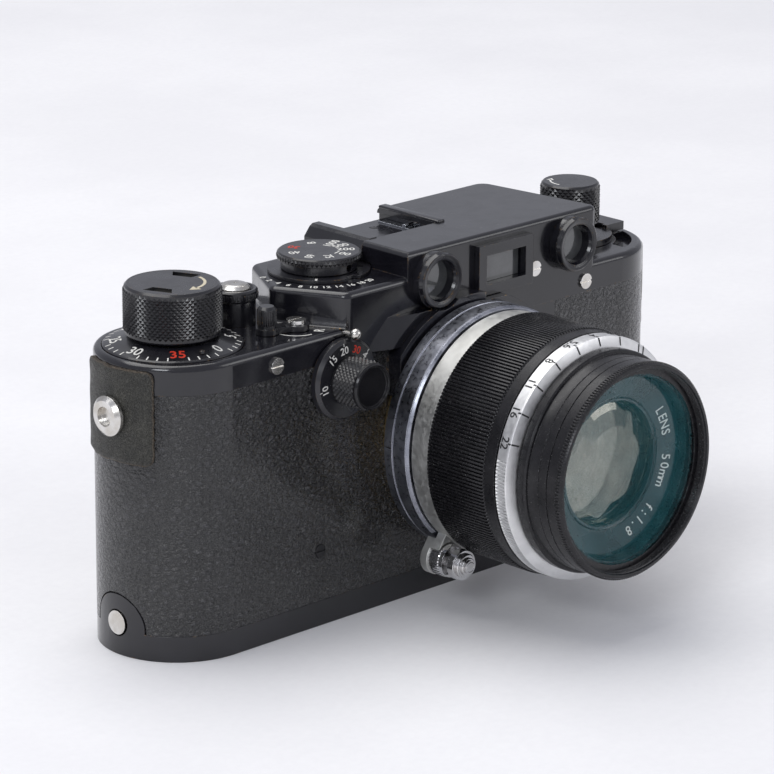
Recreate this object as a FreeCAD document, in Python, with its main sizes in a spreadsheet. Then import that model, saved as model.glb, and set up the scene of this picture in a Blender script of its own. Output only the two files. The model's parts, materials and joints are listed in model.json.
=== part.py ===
import FreeCAD, Part
import math
import operator
import os
from types import SimpleNamespace

import Sketcher

# Screw-mount 35 mm rangefinder camera with a 50 mm lens, built as separate pieces.
#
# Millimetres. X runs along the body from the winding knob (-X) to the rewind knob (+X), the lens
# looks along -Y and +Z is up. The origin is the middle of the base plate's underside.

os.makedirs("parts", exist_ok=True)

DIMENSIONS = {
    # Body shell, covering and plates
    "body_reach": 52.69,        # middle of the camera to the centre of a rounded end
    "body_radius": 15.36,       # rounded ends and half the depth
    "leather_depth": 0.8,
    "shell_wall": 1.2,
    "rim_top": 5.0,             # joint between base plate and covering
    "rim_wall": 0.5,
    "base_floor": 1.1,
    "leather_top": 51.5,        # joint between covering and top cover
    "deck_top": 57.2,
    "deck_round": 1.2,
    "deck_plate": 2.0,
    "fit_gap": 0.05,            # running clearance on a radius
    # Raised parts of the top cover
    "platform_top": 63.9,
    "platform_left": -30.8,
    "platform_back": 12.6,
    "housing_top": 68.65,
    "housing_left": -7.8,
    "housing_right": 45.2,
    "housing_slant": 3.4,
    "housing_back": 13.4,
    "cover_wall": 1.2,
    "shoe_floor": 66.2,
    "shoe_front": -2.9,
    "shoe_left": -7.8,
    "shoe_right": 12.9,
    "shoe_lip": 1.9,
    "shoe_plate": 1.0,
    # Lens mount and lens: radii, and distances forward of the camera's middle plane
    "lens_x": 6.22,
    "lens_z": 33.34,
    "mount_radius": 22.5,
    "mount_neck": 20.3,
    "mount_thread": 19.5,
    "mount_front": 19.1,
    "plinth_radius": 25.4,
    "plinth_front": 18.7,
    "fairing_radius": 30.6,
    "base_ring_radius": 24.0,
    "base_ring_back": 19.2,
    "base_ring_front": 25.6,
    "focus_ring_radius": 23.3,
    "focus_ring_back": 26.0,
    "focus_ring_front": 30.2,
    "grip_radius": 23.9,
    "grip_front": 45.0,
    "collar_radius": 23.6,
    "collar_front": 47.6,
    "aperture_radius": 23.5,
    "aperture_front": 51.2,
    "bezel_radius": 21.5,
    "bezel_front": 53.5,
    "sleeve_radius": 20.7,
    "sleeve_front": 58.0,
    "filter_radius": 20.85,
    "filter_front": 61.8,
    "filter_bore": 17.7,
    "filter_thread": 19.5,
    "barrel_radius": 20.3,
    "barrel_bore": 17.7,
    "cam_radius": 17.3,
    "cam_back": 12.0,
    "lever_angle": -124.7,
    "lever_reach": 27.0,
    "knob_sleeve": 3.1,
    "lock_button": 2.9,
    # Controls on the top
    "wind_x": -53.5,
    "wind_radius": 8.94,
    "wind_bottom": 58.95,
    "wind_top": 68.9,
    "counter_radius": 13.1,
    "counter_top": 57.7,
    "spindle_radius": 3.0,
    "release_x": -35.8,
    "release_y": 2.4,
    "collar_top": 64.0,
    "dial_x": -16.2,
    "dial_y": 0.1,
    "dial_radius": 7.96,
    "dial_top": 68.0,
    "rewind_x": 53.5,
    "rewind_radius": 5.8,
    "rewind_top": 69.2,
    "pivot_x": -30.8,
    "pivot_y": -9.0,
    "pin_x": -36.8,
    "pin_y": -7.5,
    # Controls and windows on the front and back
    "slow_x": -25.5,
    "slow_z": 48.1,
    "slow_radius": 7.83,
    "slow_front": 17.5,
    "slow_knob": 4.57,
    "slow_knob_front": 24.3,
    "window_z": 62.6,
    "window_left": -1.18,
    "window_right": 36.7,
    "window_ring": 5.4,
    "window_front": 18.1,
    "finder_x": 17.7,
    "finder_z": 61.8,
    "finder_width": 15.0,
    "finder_height": 10.0,
    "eyepiece_ring": 4.7,
    # Ends and base
    "stud_z": 6.2,
    "stud_radius": 2.3,
    "tab_radius": 6.2,
    "tab_rise": 5.6,
    "lug_z": 46.7,
    "lug_radius": 3.8,
    "lug_hole": 1.9,
    "pad_half": 8.8,
    "pad_low": 38.0,
    "pad_high": 56.0,
    "tripod_x": -44.0,
    "tripod_radius": 3.05,
    "lock_x": 50.0,
    "lock_radius": 8.0,
}
SHEET = "Sizes"

document = FreeCAD.newDocument("rangefinder_camera")
sheet = document.addObject("Spreadsheet::Sheet", SHEET)
for row, (alias, number) in enumerate(DIMENSIONS.items(), start=1):
    sheet.set("A%d" % row, alias)
    sheet.set("B%d" % row, str(number))
    sheet.setAlias("B%d" % row, alias)
document.recompute()


# ---------------------------------------------------------------- sizes and formulas

OPERATIONS = {"+": operator.add, "-": operator.sub, "*": operator.mul, "/": operator.truediv}


class Size:
    """A length that knows its present number and its spreadsheet formula."""

    def __init__(self, number, text):
        self.number = number
        self.text = text

    def __add__(self, other):
        return combine(self, "+", other)

    def __radd__(self, other):
        return combine(other, "+", self)

    def __sub__(self, other):
        return combine(self, "-", other)

    def __rsub__(self, other):
        return combine(other, "-", self)

    def __mul__(self, other):
        return combine(self, "*", other)

    def __rmul__(self, other):
        return combine(other, "*", self)

    def __truediv__(self, other):
        return combine(self, "/", other)

    def __neg__(self):
        return combine(0.0, "-", self)


def sized(value):
    """Wrap a plain number so that it can stand in a formula."""
    if isinstance(value, Size):
        return value
    return Size(float(value), "(%.6f)" % value)


def combine(left, sign, right):
    left, right = sized(left), sized(right)
    number = OPERATIONS[sign](left.number, right.number)
    return Size(number, "(%s %s %s)" % (left.text, sign, right.text))


def bind(thing, rules):
    """Bind properties of a document object to formulas."""
    for key, value in rules.items():
        thing.setExpression(key, sized(value).text)


D = SimpleNamespace(**{
    alias: Size(number, "%s.%s" % (SHEET, alias)) for alias, number in DIMENSIONS.items()
})


# ---------------------------------------------------------------- modelling helpers

X_AXIS = FreeCAD.Vector(1, 0, 0)
Y_AXIS = FreeCAD.Vector(0, 1, 0)
Z_AXIS = FreeCAD.Vector(0, 0, 1)
FACING = {
    "up": FreeCAD.Rotation(),
    "front": FreeCAD.Rotation(X_AXIS, 90),
    "right": FreeCAD.Rotation(Y_AXIS, 90),
    "left": FreeCAD.Rotation(Y_AXIS, -90),
}
STAND_UP = FreeCAD.Rotation(X_AXIS, 90)

# Spans along a facing direction that carry a cutting tool clear through one wall
LEFT_WALL = (60, 75)
FRONT_WALL = (10, 20)
BACK_WALL = (-20, -10)


def spot(facing, across, over, along):
    """World position of a point given across, over and along a facing direction."""
    if facing == "up":
        return (across, over, along)
    if facing == "front":
        return (across, -sized(along), over)
    if facing == "right":
        return (along, across, over)
    return (-sized(along), across, over)


def place(thing, position, rotation):
    thing.Placement = FreeCAD.Placement(FreeCAD.Vector(), rotation)
    rules = {".Placement.Base." + letter: value for letter, value in zip("xyz", position)}
    bind(thing, rules)
    return thing


def cylinder(name, radius, start, end, across=0, over=0, facing="up"):
    thing = document.addObject("Part::Cylinder", name)
    bind(thing, {"Radius": radius, "Height": sized(end) - start})
    return place(thing, spot(facing, across, over, start), FACING[facing])


def box(name, x_range, y_range, z_range):
    thing = document.addObject("Part::Box", name)
    ranges = (x_range, y_range, z_range)
    lengths = [sized(high) - low for low, high in ranges]
    bind(thing, dict(zip(("Length", "Width", "Height"), lengths)))
    return place(thing, [low for low, high in ranges], FreeCAD.Rotation())


def ball(name, radius, x, y, z):
    thing = document.addObject("Part::Sphere", name)
    bind(thing, {"Radius": radius})
    return place(thing, (x, y, z), FreeCAD.Rotation())


def cut(name, base, *tools):
    thing = document.addObject("Part::Cut", name)
    thing.Base = base
    thing.Tool = tools[0] if len(tools) == 1 else fuse(name + "_tools", *tools)
    return thing


def fuse(name, *solids):
    thing = document.addObject("Part::MultiFuse", name)
    thing.Shapes = list(solids)
    return thing


def common(name, *solids):
    thing = document.addObject("Part::MultiCommon", name)
    thing.Shapes = list(solids)
    return thing


def group(name, *solids):
    thing = document.addObject("Part::Compound", name)
    thing.Links = list(solids)
    return thing


def new_sketch(body):
    sketch = body.newObject("Sketcher::SketchObject", body.Name + "_sketch")
    plane = next(item for item in body.Origin.OriginFeatures if item.Role == "XY_Plane")
    sketch.AttachmentSupport = [(plane, "")]
    sketch.MapMode = "FlatFace"
    return sketch


def constrain(sketch, kind, value, *where):
    """Add a dimension to a sketch and bind it to its formula."""
    value = sized(value)
    index = sketch.addConstraint(Sketcher.Constraint(kind, *where, value.number))
    sketch.setExpression("Constraints[%d]" % index, value.text)


def draw_polygon(sketch, points):
    """Closed outline with every corner dimensioned from the sketch's origin."""
    corners = [FreeCAD.Vector(sized(u).number, sized(v).number, 0) for u, v in points]
    count = len(corners)
    for i in range(count):
        sketch.addGeometry(Part.LineSegment(corners[i], corners[(i + 1) % count]))
    for i in range(count):
        sketch.addConstraint(Sketcher.Constraint("Coincident", i, 2, (i + 1) % count, 1))
    for i, (u, v) in enumerate(points):
        constrain(sketch, "DistanceX", u, -1, 1, i, 1)
        constrain(sketch, "DistanceY", v, -1, 1, i, 1)


def draw_stadium(sketch, reach, radius):
    """Two half circles joined by straight sides, centred on the origin."""
    far, size = sized(reach).number, sized(radius).number
    centres = (FreeCAD.Vector(far, 0, 0), FreeCAD.Vector(-far, 0, 0))
    for centre, start in zip(centres, (-math.pi / 2, math.pi / 2)):
        circle = Part.Circle(centre, Z_AXIS, size)
        sketch.addGeometry(Part.ArcOfCircle(circle, start, start + math.pi))
    for side in (1, -1):
        ends = [FreeCAD.Vector(side * end * far, side * size, 0) for end in (1, -1)]
        sketch.addGeometry(Part.LineSegment(*ends))
    for joint in ((0, 2, 2, 1), (2, 2, 1, 1), (1, 2, 3, 1), (3, 2, 0, 1)):
        sketch.addConstraint(Sketcher.Constraint("Tangent", *joint))
    sketch.addConstraint(Sketcher.Constraint("Symmetric", 0, 3, 1, 3, -1, 1))
    sketch.addConstraint(Sketcher.Constraint("PointOnObject", 0, 3, -1))
    sketch.addConstraint(Sketcher.Constraint("Equal", 0, 1))
    constrain(sketch, "Radius", radius, 0)
    constrain(sketch, "DistanceX", reach, -1, 1, 0, 3)


def pad(body, sketch, length):
    feature = body.newObject("PartDesign::Pad", body.Name + "_pad")
    feature.Profile = sketch
    bind(feature, {"Length": length})
    body.Tip = feature


def stadium(name, radius, start, end):
    """Solid with the camera's plan outline between two heights."""
    body = document.addObject("PartDesign::Body", name)
    sketch = new_sketch(body)
    draw_stadium(sketch, D.body_reach, radius)
    pad(body, sketch, sized(end) - start)
    return place(body, (0, 0, start), FACING["up"])


def prism(name, points, start, end, facing="up"):
    """Straight-sided solid with a polygon outline."""
    body = document.addObject("PartDesign::Body", name)
    sketch = new_sketch(body)
    draw_polygon(sketch, points)
    pad(body, sketch, sized(end) - start)
    return place(body, spot(facing, 0, 0, start), FACING[facing])


def turned(name, profile, across, over, facing):
    """Solid of revolution from a closed profile of (radius, distance along the axis)."""
    body = document.addObject("PartDesign::Body", name)
    sketch = new_sketch(body)
    draw_polygon(sketch, profile)
    feature = body.newObject("PartDesign::Revolution", name + "_turning")
    feature.Profile = sketch
    feature.ReferenceAxis = (sketch, ["V_Axis"])
    feature.Angle = 360.0
    body.Tip = feature
    rotation = FACING[facing].multiply(STAND_UP)
    return place(body, spot(facing, across, over, 0), rotation)


def steps(*stages):
    """Profile of a bored, stepped ring: (bore, radius, start, end) for each stage in turn."""
    outer = []
    inner = []
    for bore, radius, start, end in stages:
        outer += [(radius, start), (radius, end)]
        inner += [(bore, start), (bore, end)]
    profile = outer + inner[::-1]
    kept = []
    for point in profile:
        numbers = tuple(round(sized(value).number, 6) for value in point)
        if not kept or numbers != kept[-1][0]:
            kept.append((numbers, point))
    return [point for numbers, point in kept]


def soften(body, radius, choose):
    """Round the edges of a body that a test picks out."""
    document.recompute()
    source = body.Tip
    edges = source.Shape.Edges
    names = ["Edge%d" % (i + 1) for i, edge in enumerate(edges) if choose(edge)]
    feature = body.newObject("PartDesign::Fillet", body.Name + "_round")
    feature.Base = (source, names)
    bind(feature, {"Radius": radius})
    body.Tip = feature
    return body


def at_height(height):
    """Test for edges that lie level at one height of a body's own frame."""
    target = sized(height).number

    def test(edge):
        bounds = edge.BoundBox
        return abs(bounds.ZMin - target) < 1e-4 and abs(bounds.ZMax - target) < 1e-4
    return test


def upright_near(x, y, reach=0.6):
    """Test for vertical edges near one plan position."""
    x, y = sized(x).number, sized(y).number

    def test(edge):
        centre = edge.CenterOfMass
        vertical = edge.BoundBox.XLength < 1e-4 and edge.BoundBox.YLength < 1e-4
        return vertical and math.hypot(centre.x - x, centre.y - y) < reach
    return test


def mirrored(name, solid):
    """Copy of a solid reflected to the other end of the camera."""
    thing = document.addObject("Part::Mirroring", name)
    thing.Source = solid
    thing.Base = FreeCAD.Vector()
    thing.Normal = X_AXIS
    return thing


def lens_ring(name, *stages):
    """Stepped ring round the lens axis, measured forward of the middle plane."""
    return turned(name, steps(*stages), D.lens_x, D.lens_z, "front")


NODES = []


def node(label, solid):
    """Register a finished piece under the name of its file."""
    solid.Label = label
    NODES.append(solid)
    return solid


# ---------------------------------------------------------------- body and base

SHELL_RADIUS = D.body_radius - D.leather_depth
SHELL_INNER = SHELL_RADIUS - D.shell_wall
RIM_INNER = D.body_radius - D.rim_wall
BODY_END = D.body_reach + D.body_radius
SHELL_LOW = D.base_floor + 0.3
SHELL_HIGH = D.leather_top + 1.0
APRON_LEFT = D.lens_x - 19.5
APRON_RIGHT = D.lens_x + 26.8
BUSH_RADIUS = 6.0
STUD_SHANK = 1.5
THROAT_RADIUS = 18.2
SLOW_SHAFT = 1.5
LUG_BORE = 2.6
LEATHER_SCREW = (-30.6, 15.0)
LEATHER_SCREW_HEAD = 1.2


def arch(name, radius, rise, start, end):
    """Arched tongue outline at the left end, extruded along X towards -X."""
    round_top = cylinder(name + "_top", radius, start, end, 0, rise, "left")
    legs = box(name + "_legs", (-sized(end), -sized(start)), (-sized(radius), radius), (0, rise))
    return fuse(name, round_top, legs)


def apron_outline(name, grow, start, end):
    """Metal field round the lens mount, which the covering leaves free."""
    right = sized(APRON_RIGHT) + grow
    left = sized(APRON_LEFT) - grow
    low = D.lens_z - D.mount_neck - grow
    high = D.leather_top
    field = prism(name + "_field", [
        (D.lens_x, low), (right, low), (right, high), (left, high),
        (left, D.lens_z), (D.lens_x, D.lens_z),
    ], start, end, "front")
    soften(field, 14.0, upright_near(right, low))
    neck = cylinder(name + "_neck", D.mount_neck + grow, start, end, D.lens_x, D.lens_z, "front")
    return fuse(name, field, neck)


def body_shell():
    outer = stadium("shell_outer", SHELL_RADIUS, SHELL_LOW, SHELL_HIGH)
    inner = stadium("shell_inner", SHELL_INNER, 0, 60)
    throat = cylinder("shell_throat", THROAT_RADIUS, 0, 20, D.lens_x, D.lens_z, "front")
    slow_hole = cylinder("shell_slow_hole", SLOW_SHAFT + D.fit_gap, *FRONT_WALL,
                         D.slow_x, D.slow_z, "front")
    tab_window = arch("shell_tab_window", D.tab_radius + 0.5, D.tab_rise, *LEFT_WALL)
    lug_holes = cylinder("shell_lug_holes", LUG_BORE, -75, 75, 0, D.lug_z, "right")
    screw_hole = cylinder("shell_screw_hole", 0.7, 12, 20, *LEATHER_SCREW, "front")
    return cut("body_shell", outer, inner, throat, slow_hole, tab_window, lug_holes, screw_hole)


def leather_wrap():
    outer = stadium("leather_outer", D.body_radius, D.rim_top + 0.05, D.leather_top - 0.02)
    inner = stadium("leather_inner", SHELL_RADIUS, 0, 60)
    apron = apron_outline("leather_apron", 0.05, 12, 20)
    slow_hole = cylinder("leather_slow", SLOW_SHAFT + D.fit_gap, *FRONT_WALL,
                         D.slow_x, D.slow_z, "front")
    tab_window = arch("leather_tab_window", D.tab_radius + 0.3, D.tab_rise, *LEFT_WALL)
    lug_holes = cylinder("leather_lug_holes", LUG_BORE, -75, 75, 0, D.lug_z, "right")
    screw_seat = cylinder("leather_screw_seat", LEATHER_SCREW_HEAD + 0.12, 14, 20, *LEATHER_SCREW,
                          "front")
    return cut("leather_wrap", outer, inner, apron, slow_hole, tab_window, lug_holes, screw_seat)


def mount_apron():
    """Plate behind the lens mount, with the raised rim that shows above the lens."""
    plate = apron_outline("apron_plate", 0, SHELL_RADIUS, D.body_radius)
    rim = lens_ring("apron_rim", (D.mount_neck, D.plinth_radius, D.body_radius, D.plinth_front))
    upper = box("apron_upper", (APRON_LEFT + 0.4, D.lens_x + 20.3), (-20, -15), (42, 60))
    raised = common("apron_raised", rim, upper)
    throat = cylinder("apron_throat", D.mount_neck, 0, 30, D.lens_x, D.lens_z, "front")
    window = cylinder("apron_window_relief", D.window_ring + 0.2, 15, 30,
                      D.window_left, D.window_z, "front")
    finder_low = D.finder_z - D.finder_height / 2
    finder_left = D.finder_x - D.finder_width / 2
    finder = box("apron_finder_relief", (finder_left - 0.1, 40), (-30, -15),
                 (finder_low - 0.1, 70))
    return cut("mount_apron", fuse("apron_blank", plate, raised), throat, window, finder)


def mount_flange():
    """Screw-thread ring that carries the lens."""
    ring = lens_ring(
        "flange_ring",
        (D.mount_thread, 20.0, SHELL_RADIUS, D.body_radius),
        (D.mount_thread, D.mount_neck, D.body_radius, D.mount_front - 1.5),
        (D.mount_thread, D.mount_radius, D.mount_front - 1.5, D.mount_front),
    )
    upper = box("flange_upper", (-30, 40), (-18.75, -15), (30, 60))
    clear = common("flange_clear", upper, lens_ring(
        "flange_clear_ring", (D.mount_neck, 30, 14, D.plinth_front + 0.05)))
    return cut("mount_flange", ring, clear)


def base_plate():
    outer = stadium("base_outer", D.body_radius, 0, D.rim_top)
    inner = stadium("base_inner", RIM_INNER, D.base_floor, 60)
    tongue = common(
        "base_tongue",
        cut("base_tongue_wall", stadium("base_tongue_outer", D.body_radius, 0, 15),
            stadium("base_tongue_inner", RIM_INNER, -1, 16)),
        arch("base_tongue_arch", D.tab_radius, D.tab_rise, *LEFT_WALL),
    )
    tray = cut("base_tray", outer, inner)
    stud_hole = cylinder("base_stud_hole", D.stud_radius + 0.3, *LEFT_WALL, 0, D.stud_z, "left")
    bush_hole = cylinder("base_bush_hole", BUSH_RADIUS, -1, 10, D.tripod_x, 0)
    lock_hole = cylinder("base_lock_hole", D.lock_radius + D.fit_gap, -1, 10, D.lock_x, 0)
    return cut("base_plate", fuse("base_blank", tray, tongue), stud_hole, bush_hole, lock_hole)


def tripod_bush():
    return turned("tripod_bush", steps(
        (D.tripod_radius, BUSH_RADIUS, 0.05, D.base_floor),
        (D.tripod_radius, BUSH_RADIUS + 1.2, D.base_floor, 2.2),
        (D.tripod_radius, BUSH_RADIUS, 2.2, 6.0),
    ), D.tripod_x, 0, "up")


def base_hook_stud():
    """Stud that the base plate's tongue hooks over, on its bracket inside the shell."""
    saddle = common(
        "stud_saddle",
        turned("stud_saddle_ring", steps((12.0, SHELL_INNER - 0.02, 1.6, 14.5)),
               -D.body_reach, 0, "up"),
        box("stud_saddle_box", (-75, -D.body_reach), (-9.5, 9.5), (0, 20)),
    )
    shank = cylinder("stud_shank", STUD_SHANK, D.body_reach + 12.4, BODY_END - 0.6,
                     0, D.stud_z, "left")
    head = cylinder("stud_head", D.stud_radius, BODY_END - 0.7, BODY_END + 0.15,
                    0, D.stud_z, "left")
    return fuse("base_hook_stud", saddle, shank, head)


HANDLE_RADIUS = 6.2
HANDLE_PIVOT = 0.72


def base_lock_disc():
    """Turning disc of the base lock with its bayonet bar and the handle's recess."""
    disc = turned("lock_disc_body", steps(
        (0, D.lock_radius, 0.1, D.base_floor + 0.15),
        (0, D.lock_radius + 1.0, D.base_floor + 0.15, 2.6),
        (0, 3.0, 2.6, 3.4),
    ), D.lock_x, 0, "up")
    bar = box("lock_bar", (D.lock_x - 3, D.lock_x + 3), (-12.4, 12.4), (3.0, 4.2))
    seat = cylinder("lock_seat", HANDLE_RADIUS + 0.5, -1, 1.45, D.lock_x, 0)
    half = box("lock_seat_half", (D.lock_x - 8, D.lock_x + 8), (-0.75, 9), (-1, 1.45))
    return cut("base_lock_disc", fuse("lock_disc_blank", disc, bar),
               common("lock_recess", seat, half))


def base_lock_handle():
    """Half-round folding handle, hinged across the lock disc."""
    plate = cylinder("handle_plate", HANDLE_RADIUS, 0.22, 1.22, D.lock_x, 0)
    half = box("handle_half", (D.lock_x - 8, D.lock_x + 8), (0, 9), (0, 2))
    pivot = cylinder("handle_pivot", 0.5, D.lock_x - 6.2, D.lock_x + 6.2, 0, HANDLE_PIVOT, "right")
    finger = cylinder("handle_finger", 3.0, -1, 3, D.lock_x, 2.6)
    return cut("base_lock_handle", fuse(
        "handle_blank", common("handle_wing", plate, half), pivot), finger)


def lug_pads():
    """Leather patches that protect the ends from the strap rings."""
    pad_thick = 0.9
    ring = turned("pad_ring", steps(
        (D.body_radius + 0.02, D.body_radius + pad_thick, D.pad_low, D.pad_high),
    ), -D.body_reach, 0, "up")
    window = box("pad_window", (-75, -D.body_reach), (-D.pad_half, D.pad_half), (30, 60))
    hole = cylinder("pad_hole", LUG_BORE, *LEFT_WALL, 0, D.lug_z, "left")
    left = cut("pad_left", common("pad_blank", ring, window), hole)
    return group("lug_pads", left, mirrored("pad_right", left))


def strap_lugs():
    """Eyelets at both ends for the strap rings."""
    rim = BODY_END + 2.4
    left = turned("lug_left", [
        (D.lug_hole, BODY_END - 3.2), (LUG_BORE - D.fit_gap, BODY_END - 3.2),
        (LUG_BORE - D.fit_gap, BODY_END + 1.0),
        (D.lug_radius, BODY_END + 1.0), (D.lug_radius, BODY_END + 1.7),
        (3.0, rim), (D.lug_hole, rim),
    ], 0, D.lug_z, "left")
    pin_left = cylinder("lug_pin", D.lug_hole, BODY_END - 3.2, BODY_END + 1.3, 0, D.lug_z, "left")
    whole = fuse("lug_whole", left, pin_left)
    return group("strap_lugs", whole, mirrored("lug_right", whole))


# ---------------------------------------------------------------- top cover

CAVITY_RADIUS = SHELL_RADIUS + 0.02
SPINDLE_HOLE = D.spindle_radius + D.fit_gap
BUTTON_RADIUS = 2.95
LEVER_SHANK = 0.9
COUNTER_FLOOR = 56.4
SYNC_RADIUS = 9.8
LOCK_PIN = (-24.1, 56.5)
LOCK_STEM = 0.6
EYEPIECES = (19.5, 31.5)
FLASH_X = 1.0
FLASH_Z = 60.9
FRONT_SCREWS = ((-41.8, 53.8), (26.95, 59.2), (41.6, 53.8))
BACK_SCREWS = ((-41.8, 54.4), (-14.0, 54.4), (14.0, 54.4), (41.6, 54.4))
RAISED_FOOT = 52
PLATFORM_CORNERS = (
    (-23.5, -D.body_radius), (D.platform_left, -1.9), (-22.2, D.platform_back))


def platform_solid():
    """Raised step under the shutter speed dial."""
    platform = prism("platform", [
        (D.housing_left + 1, -D.body_radius), *PLATFORM_CORNERS,
        (D.housing_left + 1, D.platform_back),
    ], RAISED_FOOT, D.platform_top)
    for x, y in PLATFORM_CORNERS:
        soften(platform, 2.0, upright_near(x, y))
    soften(platform, 1.1, at_height(D.platform_top - RAISED_FOOT))
    return platform


def housing_solid():
    """Rangefinder and viewfinder housing with the slot for the accessory shoe."""
    right_back = D.housing_right - D.housing_slant
    left = D.housing_left
    block = prism("housing", [
        (left, -D.body_radius), (D.housing_right, -D.body_radius),
        (right_back, D.housing_back), (left, D.housing_back),
    ], RAISED_FOOT, D.housing_top)
    soften(block, 3.0, upright_near(right_back, D.housing_back))
    soften(block, 1.6, upright_near(D.housing_right, -D.body_radius))
    soften(block, 1.0, at_height(D.housing_top - RAISED_FOOT))
    under = D.shoe_floor - D.shoe_plate
    wide = box("shoe_slot_wide", (D.shoe_left - 1, D.shoe_right), (D.shoe_front, 20),
               (under, D.housing_top - 1.15))
    open_top = box("shoe_slot_top", (D.shoe_left - 1, D.shoe_right - 0.6), (D.shoe_front, 20),
                   (under, 80))
    return cut("housing_block", block, wide, open_top)


def fairing_solid():
    """Curved swelling of the cover's front between the platform and the lens mount."""
    cone = turned("fairing_cone", [
        (0, D.body_radius - 0.5), (D.fairing_radius + 0.6, D.body_radius - 0.5),
        (D.fairing_radius, D.body_radius + 0.1), (26.9, 17.3), (0, 17.3),
    ], D.lens_x, D.lens_z, "front")
    zone = box("fairing_zone", (-25, -3), (-20, -14), (D.leather_top, D.deck_top))
    core = cylinder("fairing_core", D.plinth_radius + 0.05, *FRONT_WALL, D.lens_x, D.lens_z, "front")
    return cut("fairing", common("fairing_blank", cone, zone), core)


def cover_cavities():
    """Hollow inside of the top cover."""
    deck_under = D.deck_top - D.deck_plate
    shoe_under = D.shoe_floor - D.shoe_plate - 1.0
    roof = D.housing_top - D.cover_wall
    front = -D.body_radius + D.cover_wall
    return [
        stadium("cavity_deck", CAVITY_RADIUS, 40, deck_under),
        box("cavity_platform", (-23, D.housing_left + 2), (front, 11.2), (50, D.platform_top - 1)),
        box("cavity_housing", (14.0, 40.0), (front, D.housing_back - 1.2), (50, roof)),
        box("cavity_strip", (D.housing_left + 1.2, 15), (front, D.shoe_front - 1), (50, roof)),
        box("cavity_shoe", (D.housing_left + 1, 15), (-6, D.housing_back - 1.2), (50, shoe_under)),
    ]


def cover_holes():
    """Bores for spindles, windows and screws."""
    z_low = 50
    finder_side = D.finder_width / 2 - 1.3
    finder_rise = D.finder_height / 2 - 1.1
    holes = [
        cylinder("hole_wind", SPINDLE_HOLE, z_low, 80, D.wind_x, 0),
        cylinder("hole_counter", D.counter_radius + 0.15, COUNTER_FLOOR, 80, D.wind_x, 0),
        cylinder("hole_release", BUTTON_RADIUS + D.fit_gap, z_low, 80, D.release_x, D.release_y),
        cylinder("hole_dial", SPINDLE_HOLE, z_low, 80, D.dial_x, D.dial_y),
        cylinder("hole_rewind", SPINDLE_HOLE, z_low, 80, D.rewind_x, 0),
        cylinder("hole_lever", LEVER_SHANK, z_low, 60, D.pivot_x, D.pivot_y),
        cylinder("hole_lock_pin", LOCK_STEM + D.fit_gap, *FRONT_WALL, *LOCK_PIN, "front"),
        cylinder("hole_flash", 2.6, *BACK_WALL, FLASH_X, FLASH_Z, "front"),
        cylinder("hole_sync", SYNC_RADIUS + 0.2, D.platform_top, 64.8, D.dial_x, D.dial_y),
        cylinder("hole_mount", D.mount_neck + 0.02, *FRONT_WALL, D.lens_x, D.lens_z, "front"),
        box("hole_finder", (D.finder_x - finder_side, D.finder_x + finder_side), (-20, -12),
            (D.finder_z - finder_rise, D.finder_z + finder_rise)),
    ]
    for x in (D.window_left, D.window_right):
        name = "hole_window_%d" % round(x.number)
        holes.append(cylinder(name, 4.6, *FRONT_WALL, x, D.window_z, "front"))
    for x in EYEPIECES:
        holes.append(cylinder("hole_eyepiece_%d" % x, 3.9, *BACK_WALL, x, D.window_z, "front"))
    for i, (x, z) in enumerate(FRONT_SCREWS):
        holes.append(cylinder("hole_screw_%d" % i, 0.9, 12, 20, x, z, "front"))
    for i, (x, z) in enumerate(BACK_SCREWS):
        holes.append(cylinder("hole_back_screw_%d" % i, 0.9, -20, -12, x, z, "front"))
    return holes


def top_cover():
    deck = stadium("deck", D.body_radius, D.leather_top, D.deck_top)
    soften(deck, D.deck_round, at_height(D.deck_top - D.leather_top))
    blank = fuse("cover_blank", deck, platform_solid(), housing_solid(), fairing_solid())
    crescent = common(
        "lever_recess",
        turned("lever_recess_ring", steps((9.4, 12.6, 56.0, 60)), D.rewind_x, 0, "up"),
        box("lever_recess_zone", (D.rewind_x + 3, 70), (-13, -3.5), (50, 60)),
    )
    return cut("top_cover", blank, *cover_cavities(), *cover_holes(), crescent)


def accessory_shoe():
    """Channel that holds an accessory foot, with the left rail folded over it."""
    low = D.shoe_floor - D.shoe_plate
    back = D.housing_back - 0.4
    lip = D.shoe_left + 2.4
    floor = box("shoe_base", (D.shoe_left + 0.5, D.shoe_right - 0.05), (D.shoe_front + 0.05, back),
                (low, D.shoe_floor))
    rail = prism("shoe_rail", [
        (D.shoe_left, low), (lip, low), (lip, D.shoe_floor + 1.45), (lip + D.shoe_lip, 67.65),
        (lip + D.shoe_lip, 68.5), (lip + D.shoe_lip - 0.4, 68.8), (D.shoe_left + 2.2, 68.8),
        (D.shoe_left + 1.4, 68.3), (D.shoe_left, 66.6),
    ], -back, -(D.shoe_front + 0.05), "front")
    return fuse("accessory_shoe", floor, rail)


def shoe_spring():
    """Leaf that presses the accessory foot against its rails."""
    right = D.shoe_right - 0.15
    leaf = box("spring_leaf", (right - 2.0, right), (D.shoe_front + 1.2, 11.5),
               (D.shoe_floor, D.shoe_floor + 0.3))
    bow = cylinder("spring_bow", 0.5, right - 2.0, right, 4.4, D.shoe_floor + 0.5, "right")
    return fuse("shoe_spring", leaf, bow)


# ---------------------------------------------------------------- screws, windows, eyepieces


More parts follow.
